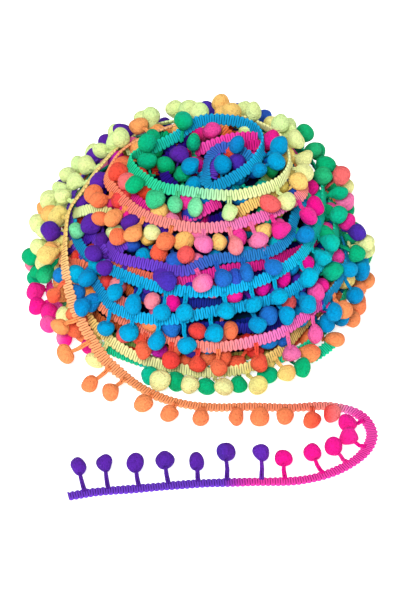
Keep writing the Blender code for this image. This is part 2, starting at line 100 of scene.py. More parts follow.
OUTER_COLUMNS = (-0.86, -0.45, 0.0, 0.45, 0.86)
INNER_COLUMNS = (-0.6, 0.6)
INNER_ROWS_PER_RIB = 2

# The pompoms' yarn
STEM_YARN = 0.68
YARNS_APART = 1.3
STEM_SIDES = 6
STEM_TIED_IN = 2.6
STEM_SUNK = 0.1
STEM_AT_EDGE = 0.7
STEM_PROUD = 0.05
STEM_TURNS = 0.4
WANDERS_AT = 0.4
STEM_WANDER = 0.5
STEM_ENTERS = 0.7
STEM_ENDS = 0.3
YARNS_CLOSE_UP = (1, 1, 1, 0.8, 0.45, 0.3)
YARN_RADIUS = 4.9
SIZE_SPREAD = 0.07
ROUND_SPREAD = 0.11
SQUASH = 0.2
SQUASH_HEIGHT = 0.5
PEAR_SHARE = 1.6
PEAR_LENGTH = 0.34
PEAR_NARROWING = 0.42
LUMPINESS = 0.055
LUMP_WAVES = 3
BROADEST_LUMP = 2
LUMP_SHIFT = 3
DIMPLE_DEPTH = 0.2
DIMPLE_WIDTH = 0.36
SHADED_NECK = 0.55
DYE_SPREAD = 0.15
OUTER_DETAIL = 4
INNER_DETAIL = 3
POMPOMS_A_PIECE = 80

# How the turns underneath lie
INNER_WANDER = 1.2
INNER_WAVE = 1.5
INNER_TILT = 0.7
INNER_APART = 10.2
INNER_CLEAR = 5.8
INNER_CRUSHED = 8.6
INNER_SUNK = 5.0
INNER_PROUD = 0.0
LONGEST_INNER_ARM = 12.5
PEEPING_STEM = 9.0
PEEPING_PROUD = 15.0
# Bearings and rises where the outer turns leave a dark gap, and no inner pompom comes up
KEPT_CLEAR = ((43, 18), (26, 26), (-4, 30), (5, 30), (-39, 19))
CLEAR_REACH = 7.0

# How the turns underneath are pushed in, and the packed middle that closes the gaps between them
TUCKING_ROUNDS = 60
TUCKING_RATE = 0.6
MIDDLE_DEPTH = 15.0
# Painted shade: yarn deeper than SHADE_STARTS under the outer turns is darkened, fully at SHADE_DEPTH further
# in.
SHADE_STARTS = 2.0
SHADE_DEPTH = 11.0
MIDDLE_RIDGE = 0.8
MIDDLE_STEP = 5
MIDDLE_TOP = 88
MIDDLE_LEVELS = 60
# Painted groove shade laid over the whole packed middle.
MIDDLE_PAINTED_SHADE = 0.8
MIDDLE_DYE = 11.2
MIDDLE_DYE_ROUND = 1.6
MIDDLE_DYE_UP = 0.9
MIDDLE_PATCHES = 3
MIDDLE_DRIFT = 0.7
MIDDLE_LAYERS = 1.9

# The yarn's finish: sizes and reliefs in millimetres. Each brightness is its least value, and the shares that
# the coarser and the finer unevenness add to it.
YARN = {"Roughness": 0.9, "Specular IOR Level": 0.05, "Sheen Weight": 0.015, "Sheen Roughness": 0.5}
# Painted shade deep under the outer turns: DEEP_GAMMA deepens the dye and DEEP_SHADE darkens it.
DEEP_GAMMA = 1.3
DEEP_SHADE = 0.7
UNEVEN_DYE_SIZE = 5.0
BRAID_FIBRE_SIZE = 0.35
# Painted shade in the braid's grooves between the ribs.
GROOVE_STEEPNESS = 1.5
GROOVE_SHADE = 0.9
BRAID_BRIGHTNESS = (0.8, 0.2, 0.28)
PLY_ACROSS = 26.0
PLY_ALONG = 6.2832
PLY_RELIEF = 0.5
BRAID_RELIEF = 0.12
TUFT_SIZE = 1.5
PILE_SIZE = 0.6
PILE_DETAIL = 4.0
# Painted shade in each pompom's dimple and at its neck.
DIMPLE_SHADE = 0.5
POMPOM_BRIGHTNESS = (0.36, 0.52, 0.76)
TUFT_RELIEF = 1.5
POMPOM_RELIEF = 0.9

# The floor, the light and the camera
FLOOR_SIZE = 6.0
FLOOR_HEIGHT = -0.0002
FLOOR_CLEAR = 0.05
PAPER = {
    "Base Color": (0.95, 0.95, 0.95, 1),
    "Roughness": 0.9,
    "Emission Color": (1, 1, 1, 1),
    "Emission Strength": 0.62,
}
SURROUND = 0.5
SOFT_BOX = 3.0
SOFT_BOX_SPREAD = 20
SOFT_BOX_TURN = (40, -10, 0)
CAMERA_RISE = 42.0
CAMERA_DISTANCE = 8000.0
VIEW_HEIGHT = 327.0
AIM_OFF_CENTRE = (1.34, -9.25, 0)

# The dyes in their order along the trim, and how far round the wheel each one is
Dye = namedtuple("Dye", "at pompom braid")
DYES = (
    Dye(0.0, "56249d", "6c3bc2"),
    Dye(0.45, "6028ae", "6c3bc2"),
    Dye(0.7, "a02ab8", "b036b4"),
    Dye(1.0, "ec0a8a", "f03ca4"),
    Dye(1.2, "ee3098", "ee54b0"),
    Dye(1.4, "f27ab0", "ee78be"),
    Dye(1.85, "f88a8c", "f6908c"),
    Dye(2.3, "e83c36", "f48068"),
    Dye(3.0, "f68e58", "fa9c68"),
    Dye(4.0, "fab868", "f3b682"),
    Dye(4.5, "f6d47a", "f0ca74"),
    Dye(5.0, "ece282", "ecdf92"),
    Dye(5.5, "e8eaa0", "eaeaa6"),
    Dye(6.0, "def4a2", "e4f5a8"),
    Dye(7.0, "7fe0a4", "92e6b4"),
    Dye(7.5, "3cc688", "3ad4a0"),
    Dye(8.0, "04ac6c", "1cca90"),
    Dye(9.0, "08bfa0", "18c4b4"),
    Dye(10.0, "00b0d8", "14b8ea"),
    Dye(11.0, "008ac8", "1290c4"),
    Dye(12.0, "285cc4", "3668c4"),
    Dye(12.5, "4430ae", "5c40bc"),
    Dye(13.0, "56249d", "6c3bc2"),
)
WHEEL = DYES[-1].at

# The turns of the two strands, in order. Each row is a bearing from the front towards the left, the radius
# and height of the tape's middle, how far the tape's face is tilted up from standing upright, and the dye.
UPPER_TURNS = {
    "climb_over_left_shoulder": (
        (34, 89, 10.4, 55, 3.1), (41, 88.3, 20, 52, 3.2), (48, 87.8, 31, 50, 3.3),
        (54.5, 85.6, 40, 42, 3.7), (62.3, 81.2, 47.5, 28, 4.2), (71, 76, 54.5, 12, 4.4),
        (84, 70, 59.5, 14, 4.6), (94, 62, 65, 28, 4.7), (110, 56.5, 68, 38, 4.8), (137, 57, 67, 40, 5),
        (165, 65, 61.5, 36, 6.2), (197, 70, 58.5, 28, 7),
    ),
    "fourth_turn": (
        (228, 70.5, 58.5, 12, 8), (247, 71.5, 54, 14, 8.2), (266, 68, 51, 22, 8.4),
        (287, 65.5, 52.5, 30, 9.2), (308, 67.5, 55, 36, 9.8), (333, 68.5, 56, 38, 10.2),
        (360, 69, 55.8, 38, 10.3), (390, 67.5, 55, 38, 10.6), (427, 68.5, 50, 34, 11),
        (460, 66.5, 51, 36, 9.4), (500, 65, 56, 38, 7.6), (540, 62.5, 61, 42, 6.2), (585, 60, 67, 44, 4.6),
    ),
    "sixth_turn": (
        (631, 57.3, 72, 46, 2.2), (657, 50.5, 75.5, 52, 1.45), (685, 45, 78, 56, 1.4),
        (712, 43.5, 79, 58, 1.7), (740, 42.5, 79, 58, 1.9), (770, 44.5, 79, 54, 2.1),
        (802, 48.5, 79, 36, 2.6), (818, 48, 79, 24, 3), (840, 45, 79, 40, 3.3), (870, 42.5, 78.5, 50, 3.7),
        (900, 48, 76.5, 44, 4.5), (926, 52, 79, 30, 5.1),
    ),
    "crown_loop": (
        (947, 49, 84, 14, 5.4), (966, 50, 86, 5, 5.5), (990, 49.5, 86.5, 6, 5.6),
        (1012, 45.5, 87.5, 26, 5.8), (1040, 35, 88.5, 58, 6), (1068, 27, 88.5, 62, 6.8),
        (1098, 24.8, 88.5, 62, 7.3), (1124, 29, 88.5, 58, 7.7), (1156, 34.8, 88.5, 40, 8),
        (1176, 36.6, 88, 10, 8.1), (1195, 27, 88, -30, 8.4), (1229, 24, 88, -36, 9.3),
        (1260, 33, 88, -36, 10.7), (1284, 38, 88, -34, 10.9), (1306, 41.5, 88, -16, 10.8),
        (1324, 39, 87.5, 4, 10.4), (1346, 31.5, 87, 40, 10.3), (1376, 22.5, 86.5, 58, 10.7),
        (1410, 19.5, 86, 52, 11),
    ),
    "heart_coil": (
        (-20, 14, 84.5, 90, 11), (-36, 6.5, 84, 140, 11.2), (-132, 6.6, 84, 150, 11.6),
        (-146, 14.5, 84.5, 120, 12), (-138, 20.9, 85, 138, 12.1), (-122, 25.5, 84.5, 138, 11.7),
        (-109, 29.7, 83, 138, 11.3), (-99, 30.7, 80, 138, 11.1),
    ),
}
LOWER_TURNS = {
    "ground_turn": (
        (-160, 80.5, 6, 8, 6.5), (-115, 81, 6, 8, 7.4), (-80, 81.5, 6.5, 8, 8), (-45, 82, 6, 8, 8.1),
        (-12, 77, 5.5, 8, 8.1), (20, 76, 5.5, 8, 8.6), (55, 79, 7, 10, 13.8), (90, 81, 10, 14, 14),
        (135, 80, 8, 14, 14.8), (180, 79.5, 9, 14, 15.4), (225, 79.5, 13, 18, 15.8),
        (272, 78.5, 17, 18, 16),
    ),
    "second_turn": (
        (316, 77.5, 14.5, 20, 16.2), (335, 81.5, 9.5, 18, 17.6), (352, 82, 8.5, 18, 18.4),
        (370, 79, 9, 20, 18.6), (387, 79.5, 12.5, 20, 18.4), (403, 78.5, 18, 18, 18.2),
        (417, 76.5, 25.5, 14, 17.8), (450, 79.5, 25, 16, 18.3), (495, 80.5, 24, 18, 19.2),
        (540, 80.5, 25, 18, 20.4), (585, 80, 27, 18, 22.8), (630, 79.5, 28, 16, 25.6),
    ),
    "third_turn": (
        (655, 82, 28, 12, 27), (680, 82.5, 28.5, 24, 27.3), (695, 82.5, 27, 26, 27.5),
        (720, 80, 26.5, 26, 28.1), (755, 74.5, 30, 26, 28.4), (783, 76, 37, 26, 29.4),
        (810, 77, 40, 26, 31), (855, 76, 40.5, 28, 32.2), (900, 75.5, 41.5, 28, 33),
        (945, 76, 42, 28, 33.9), (990, 75, 39.5, 28, 34.2),
    ),
    "upper_third_turn": (
        (1035, 72, 41, 30, 35), (1078, 71.5, 42.5, 32, 36.3), (1094, 77, 41, 30, 36.4),
        (1108, 78.5, 40, 30, 36.6), (1124, 74.5, 40.5, 30, 37), (1170, 70, 51, 32, 38.2),
        (1215, 68, 55, 36, 38.8), (1260, 64, 58, 40, 38.6), (1305, 61, 62, 42, 37.6),
    ),
    "fifth_turn": (
        (1350, 56.5, 66.5, 42, 36.8), (1372, 56, 66.5, 42, 37), (1386, 60, 64.5, 40, 37.2),
        (1402, 60, 65, 42, 37.4), (1432, 56.5, 67.5, 46, 37.9), (1447, 62, 64.5, 44, 38.4),
        (1466, 61, 63, 42, 38.8), (1484, 63, 60, 38, 39), (1497, 58.5, 57.5, 36, 39.1),
    ),
}

# Each row of the loose end is a bend's x and y, the height of the tape's middle over the table, and its dye
LYING = TAPE_THICKNESS / 2

LOOSE_END = (
    (-69.5, -171.4, LYING, 0.0), (-55.0, -168.0, LYING, 0.0), (-32.0, -165.2, LYING, 0.0),
    (-1.0, -161.4, LYING, 0.0), (27.0, -160.0, LYING, 0.9), (54.0, -158.8, LYING, 1.0),
    (73.0, -151.8, LYING, 1.0), (88.0, -138.5, LYING, 1.0), (93.5, -122.0, LYING, 1.1),
    (87.0, -106.8, LYING, 1.08), (71.5, -99.8, LYING, 1.9), (50.0, -101.0, LYING, 2.45),
    (27.0, -100.2, LYING, 2.7), (9.0, -100.8, LYING, 2.8), (-7.0, -98.6, 1.1, 2.9),
    (-22.0, -93.6, 2.4, 3.0), (-36.0, -85.6, 6.0, 3.1),
)

# Pompoms with a place of their own, by their number along the strand: how far along it they are shifted, how
# far past the tape's middle they reach towards its pompom edge, and how far they stand off its face
UPPER_HANGS = {
    0: (2, 18, 0), 1: (-1, 17.5, 0), 2: (0, 16, 0), 3: (1, 16.5, 0), 4: (0, 14, 0), 5: (0, 18.5, 0),
    6: (3.5, 19, 0), 7: (0, 14.5, 0), 8: (6, 15, 0), 9: (7.5, 12.5, 0), 10: (7, 11, 0), 11: (14, 12, 0),
    12: (20, 8.5, 0), 13: (15, 14, 0), 14: (15, 10, 0), 15: (12, 12, 0), 16: (11, 12, 0),
    17: (10.5, 12.5, 0), 18: (10.5, 12.5, 0), 19: (8.5, 11, 0), 20: (9.5, 13, 0), 21: (7, 17, 0),
    22: (7.5, 17, -2), 23: (5, 12, -5), 24: (12, 12.5, -6), 25: (15, 13.5, 0), 26: (20, 12.5, 2),
    27: (12, 8, 4), 28: (12, 9, 4), 29: (9, 9, 4.5), 30: (9, 10, 3), 31: (9, 8, 1), 32: (12, 8, 4),
    33: (10, 12.5, 4), 34: (9, 13.5, 4), 35: (8.5, 13.5, 4), 36: (8.5, 13.5, 4), 37: (10, 13, 4),
    38: (11.5, 4, 2.5), 39: (9, 4, 4.5), 40: (5, 4, 4), 41: (4.5, 4.5, 4.5), 42: (9.5, 7, 3.5),
    43: (4.5, 8, 2), 44: (2.5, 11.5, -1), 45: (7, 13.5, -3.5), 46: (7, 13, -4), 47: (5.5, 11.5, -4),
    48: (8, 10, 0), 49: (3, 12.5, 1.5), 50: (3, 12, 3), 51: (-0.5, 8.5, 3), 52: (2, 8, 3),
    53: (2.5, 12.5, 4), 54: (2.5, 13.5, 4), 55: (3, 14, 4), 56: (3, 13.5, 4), 58: (3.5, 14, 4),
    60: (4, 14, 4), 61: (4.5, 13, 4), 62: (4.5, 12.5, 4), 63: (5, 13.5, 4), 69: (-7.5, 10.5, -1),
    70: (-2.5, 11, 1.5), 71: (-5, 12, 1.5), 72: (-7, 12.5, 0.5), 73: (-11, 8.5, 2.5), 74: (-9, 11, 3),
    75: (-8, 12, 2.5), 76: (-12.5, 10, 4), 77: (-15, 7.5, 5), 80: (-2.5, 14, 4), 82: (5.5, 12, 4),
    83: (10, 14, 4), 84: (14, 4, 5), 85: (7.5, 4, 2.5), 86: (-1.5, 14, 6), 87: (-6.5, 11, 5),
    88: (-0.5, 8, 2), 90: (-4, 9.5, 1), 91: (-4.5, 9.5, 3.5), 92: (-8, 9.5, 3.5), 93: (-15.5, 7, 3.5),
    94: (-20, 5, 4), 95: (-1, 4, -1.5), 96: (1.5, 13, 4), 97: (4, 6, 9), 98: (3, 6, 9), 99: (-3, 1, 10),
    100: (8.5, 4, 8.5), 101: (1, 8, 9), 102: (-11.5, 5.5, 8.5), 104: (-3, 3, 8.5), 106: (-2.5, 3, 8.5),
}
LOWER_HANGS = {
    10: (8.5, 4, 9), 11: (7.5, 4, 9), 12: (6.5, 4, 9), 13: (6.5, 4, 6.5), 14: (5, 4, 6), 15: (8, 4, 5),
    16: (2.5, 4, 4), 18: (8.5, 4, 7), 19: (7, 5.5, 9), 20: (6.5, 6, 8), 21: (0.5, 5.5, 6),
    22: (-9.5, 4, 4), 37: (1.5, 10, 6.5), 38: (-4.5, 11, 5), 39: (-8.5, 14.5, 4), 40: (-6.5, 12.5, 5),
    41: (-8.5, 5, 4.5), 43: (-5, 10, 9), 44: (-3.5, 8.5, 9), 45: (-2, 7, 7.5), 46: (-6.5, 7, 7.5),
    47: (-5.5, 7, 4), 48: (-8, 9, 4.5), 49: (-3, 13.5, 4), 73: (-5, 4, 2.5), 74: (-12, 15.5, -2),
    75: (-6.5, 17.5, -4), 76: (-4.5, 12.5, -4), 77: (0.5, 7.5, 0.5), 78: (-4, 10, -2.5), 79: (-7, 6.5, 2),
    80: (-6.5, 6, 2.5), 104: (1.5, 9, 5), 105: (-3, 8, 4.5), 106: (-4, 8.5, 4), 107: (4.5, 11.5, 4.5),
    108: (4.5, 15, -1), 109: (1, 13, -4), 110: (0.5, 10.5, -4), 111: (-1.5, 13.5, -2.5), 112: (-8, 7.5, 3),
    130: (2.5, 4, 3), 131: (9, 7.5, 3.5), 132: (6, 8, 4), 133: (7, 10.5, 4), 134: (3.5, 9, 2.5),
    135: (-0.5, 5, 3), 137: (10, 5, 6),
}

# Pompoms that are pressed in out of sight and aren't built
UPPER_PRESSED_IN = (57, 59, 64, 65, 66, 67, 68, 78, 79, 81, 89, 103, 105)
LOWER_PRESSED_IN = (17, 52, 66, 81, 83, 97, 103, 128, 129, 136)

# The dyes of the pompoms that belong to another colour than the braid beside them shows
UPPER_DYES = {
    5: 0.0, 6: 0.5, 9: 1.15, 10: 1.0, 11: 1.0, 12: 2.2, 13: 2.5, 14: 2.8, 15: 2.9, 24: 2.6, 25: 4.5,
    26: 4.7, 27: 6.0, 28: 6.0, 29: 6.0, 30: 6.0, 31: 6.0, 32: 5.9, 33: 5.9, 36: 5.8, 38: 8.0, 39: 2.1,
    54: 12.9, 55: 3.9, 56: 6.0, 58: 6.0, 60: 5.6, 61: 6.0, 62: 4.3, 63: 6.0, 69: 1.2, 70: 1.2, 71: 1.35,
    72: 1.7, 73: 1.45, 74: 2.9, 75: 3.2, 76: 3.2, 77: 2.9, 80: 3.4, 82: 4.4, 83: 5.3, 84: 6.0, 85: 5.6,
    90: 6.2, 94: 8.1, 96: 8.6, 97: 6.0, 98: 4.2, 99: 6.0, 100: 10.8, 101: 10.6, 102: 10.8, 104: 10.7,
    106: 11.3,
}
LOWER_DYES = {
    6: 3.1, 7: 2.9, 8: 3.1, 9: 3.0, 18: 1.3, 21: 1.1, 22: 8.1, 25: 4.9, 37: 10.7, 38: 10.7, 39: 3.0,
    40: 10.8, 41: 10.8, 42: 3.0, 43: 4.4, 49: 5.4, 50: 2.5, 51: 5.6, 53: 8.1, 54: 5.6, 67: 1.2, 68: 1.3,
    69: 8.0, 70: 10.7, 71: 10.8, 72: 3.0, 73: 10.9, 74: 1.3, 75: 1.35, 76: 2.4, 77: 2.8, 78: 2.3, 79: 2.4,
    80: 2.5, 84: 8.1, 85: 5.8, 86: 5.8, 88: 12.9, 89: 6.0, 102: 10.6, 104: 10.6, 105: 10.7, 106: 10.6,
    114: 4.0, 115: 5.8, 116: 5.8, 117: 6.0, 118: 6.0, 119: 12.9, 120: 12.9, 125: 6.0, 126: 8.0, 127: 8.0,
    134: 1.3,
}

# Where the lower strand takes other dyes than its places have: distances from its start, and the dyes there
LOWER_REDYED = (
    ((257, 8.1), (276, 8.1), (284, 5.0), (300, 3.0), (312, 1.21)),
    ((600, 3.0), (620, 4.2), (650, 4.5), (686, 4.6)),
    ((768, 5.33), (776, 4.9), (784, 4.55), (792, 4.4), (812, 4.45), (830, 5.05)),
    ((1036, 9.8), (1065, 11.0), (1147, 11.1), (1149, 14.2)),
    ((1585, 8.2), (1612, 9.6), (1642, 10.3), (1696, 10.4)),
    ((1773, 11.3), (1792, 12.7), (1841, 12.8), (1871, 12.8)),
)

# The strips of the loose end, from its free tip inwards
Strip = namedtuple("Strip", "pompoms slot")
STRIPS = (
    Strip(5, "purple_pompoms"),
    Strip(5, "pink_pompoms"),
    Strip(2, "pink_pompoms"),
    Strip(2, "pink_pompoms"),
    Strip(4, "coral_pompoms"),
    Strip(4, "coral_pompoms"),
)
ON_STRIPS = sum(strip.pompoms for strip in STRIPS)

# The turns under the outer ones: each goes once round, climbing from one rise over the table to the next, at
# a depth under the outer turns. Its dyes are those at the right, the front, the left, the back and the right.
InnerTurn = namedtuple("InnerTurn", "rise depth right front left back end")
INNER_CLIMB = 8.5
INNER_STEP = 15
INNER_DYED_AT = (-90, 0, 90, 180, 270)
INNER_TURNS = (
    InnerTurn(5.0, 9.0, 3.0, 5.5, 8.0, 11.5, 14.2),
    InnerTurn(13.5, 9.5, 2.2, 2.6, 4.4, 8.0, 11.0),
    InnerTurn(22.0, 9.0, 11.0, 12.4, 15.4, 18.5, 22.0),
    InnerTurn(30.5, 9.0, 9.5, 15.8, 17.0, 20.0, 24.5),
    InnerTurn(39.0, 9.0, 11.6, 14.1, 15.6, 19.5, 22.0),
    InnerTurn(47.5, 9.0, 9.4, 12.5, 13.0, 17.0, 20.0),
    InnerTurn(56.0, 8.5, 7.2, 11.5, 13.2, 15.0, 18.0),
    InnerTurn(64.5, 8.5, 5.2, 14.6, 15.2, 17.4, 21.0),
    InnerTurn(73.0, 8.0, 8.2, 12.0, 13.0, 14.4, 16.0),
)

# Short stretches of turns that come up between the outer ones and go under again. Each row is a bearing, the
# rise over the table, the depth under the outer turns and the dye.
SHORT_STRETCHES = {
    "lime_stub": ((96, 32.6, 3, 6), (83, 42.1, 2, 6), (78, 46.6, 2, 6), (71, 51.1, 3, 5.6),
        (65, 53.9, 6, 5.4)),
    "dark_purple_left": ((88, 18, 6, 12.8), (77, 29.1, 5, 12.9), (71, 35.3, 5, 13), (69, 40.6, 5, 13)),
    "purple_fall": ((73, 40.5, 5, 13), (63, 42.6, 2, 13), (54, 41.6, 1, 13), (49, 38.2, 3, 13)),
    "purple_lap": ((43, 54, 4, 13), (44, 50, 1, 13), (47, 46.1, 1, 12.9), (51, 41, 3, 12.8)),
    "red_under_blue": ((56, 40.7, 5, 2.4), (45, 41.7, 3, 2.4), (36, 41.7, 3, 2.3), (26, 41.4, 4, 2.2),
        (16, 42, 5, 1.8)),
    "magenta_under_indigo": ((13, 41.3, 5, 1.2), (6, 43.3, 3.5, 1.1), (-5, 45.2, 3.5, 1),
        (-17, 46, 4, 1), (-33, 44.3, 4.5, 1), (-48, 42.4, 5, 1), (-65, 37.7, 5, 1), (-84, 31.9, 6, 1.1)),
    "navy_front": ((31, 34.3, 6, 12.2), (24, 34.2, 5.5, 12.2), (13, 33.6, 6, 12.2),
        (-1, 34.6, 6, 12.2), (-13, 33.9, 6, 12), (-26, 33.8, 7, 12)),
    "salmon_left": ((56, 23.9, 6, 2.3), (47, 25.7, 4, 2.2), (40, 27.8, 2, 2.1), (34, 29.2, 4, 2),
        (26, 29.4, 6, 2)),
    "red_left": ((80, 20.2, 4, 2.3), (69, 27.6, 3, 2.4), (61, 31.8, 3, 2.5), (58, 32.3, 6, 2.5)),
    "navy_low": ((22, 21.6, 7, 12), (8, 22.9, 6, 12.1), (-11, 24, 6, 12.2), (-20, 22.1, 6, 12.3),
        (-31, 20.2, 7, 12.3), (-43, 19.5, 7, 12.2)),
    "pink_right": ((-99, 25.9, -5, 1.3), (-96, 26.1, -2.5, 1.3), (-92, 24, 2, 1.4), (-84, 26, 4, 1.4),
        (-76, 27.2, 6, 1.4)),
    "red_right_edge": ((-134, 39.8, 1, 1.2), (-127, 39.7, 2.5, 1.2), (-119, 40.6, 2.5, 1.2),
        (-114, 37.9, 4, 1.1), (-110, 35, 5.5, 1.1)),
    "gold_right": ((-30, 64.3, 6, 4.3), (-36, 64.3, 3, 4.4), (-47, 64, 2.5, 4.5), (-57, 62.8, 3, 4.7),
        (-70, 60.5, 6, 4.8)),
    "red_magenta_front": ((13, 67.1, 5, 1.3), (7, 66.5, 3, 1.2), (-2, 67.6, 2.5, 1.1),
        (-12, 69.1, 3, 1.1), (-24, 70.6, 5, 1.1)),
    "magenta_left": ((71, 62.2, 6, 1.1), (59, 63.3, 4, 1), (48, 64.1, 4, 1), (40, 65.3, 6, 1.1)),
    "purple_under_salmon": ((48, 60.1, 6, 12.9), (39, 60, 4, 12.9), (30, 59.6, 4, 12.9),
        (22, 59, 6, 12.9)),
    "green_left": ((98, 32.7, 5, 8.1), (95, 40.5, 3, 8.2), (98, 45.7, 3, 8.3), (110, 46.2, 3.5, 8.6),
        (125, 42.2, 5, 9)),
    "purple_left_edge": ((100, 27.3, -2.5, 12.9), (105, 28.3, 0, 12.9), (112, 27.3, 2, 12.9),
        (115, 29.5, 2.5, 12.9)),
    "orchid_left": ((83, 2.6, -1, 1.2), (76, 2.6, 0, 1.3), (70, 2.6, 0, 1.3), (69, 2.6, 2, 1.3)),
    "magenta_stub_left": ((91, 6.9, 2, 1.2), (83, 8.7, 3, 1.1), (82, 3.2, 3, 1.1), (82, 2.6, 1, 1.1)),
}

# More of them, where the tape leans over towards the front: how far it leans, and rows as the loose end has
LEANING_STRETCHES = {
    "green_ground_right": (30, (
        (75.1, -45.3, 2.8, 8.1), (72.4, -51, 2.8, 8.1), (68.6, -56.2, 2.8, 8.1),
        (63.8, -61.1, 2.8, 8.1), (58.4, -64.7, 2.8, 8.1))),
    "crown_magenta": (48, (
        (-5.9, 14, 79, 1.2), (-2.2, 16.3, 81, 1.2), (3.8, 17.7, 83, 1.15),
        (10.3, 19.6, 84.5, 1.05), (17.3, 21.8, 85.5, 1), (24.9, 23, 85.5, 1),
        (32.4, 23.5, 85, 1))),
    "crown_magenta_fold": (40, (
        (16.2, 18.9, 79, 1), (22.7, 18.8, 82, 1), (28.6, 19.3, 83, 1),
        (34.6, 20.1, 83, 1))),
    "crown_purple_stub": (60, (
        (-4.3, 21.3, 79, 12.9), (-9.7, 17.9, 81, 12.9), (-14.6, 12.9, 81.5, 12.9),
        (-18.1, 6.2, 81, 12.9), (-17.8, -0.3, 79.5, 12.9), (-14.1, -6.4, 77, 12.9))),
    "crown_purple_edge": (-35, (
        (10.8, 16.9, 83, 12.9), (8.4, 9, 83.5, 12.9), (7.3, 1, 83.5, 12.9),
        (8.6, -5.2, 82.5, 12.9), (12.4, -6.5, 80, 12.9))),
    "crown_salmon_edge": (-35, (
        (-29.7, 17, 80, 2.2), (-25.9, 11.8, 81, 2.2), (-23.2, 5.9, 80.5, 2.2),
        (-21.6, 0.6, 78, 2.2))),
    "crown_dark_green": (48, (
        (-24.9, 38, 72, 8), (-21.1, 37.4, 74, 8), (-17.3, 35.6, 74.5, 8),
        (-14.1, 33.6, 73, 8))),
    "crown_cream": (40, (
        (0.5, 33.1, 80, 4.5), (3.2, 33, 83, 4.5), (7, 33.5, 84, 4.3),
        (10.8, 32.7, 84, 3.8), (14.6, 30.6, 83, 3), (17.8, 28, 81, 2.6))),
}

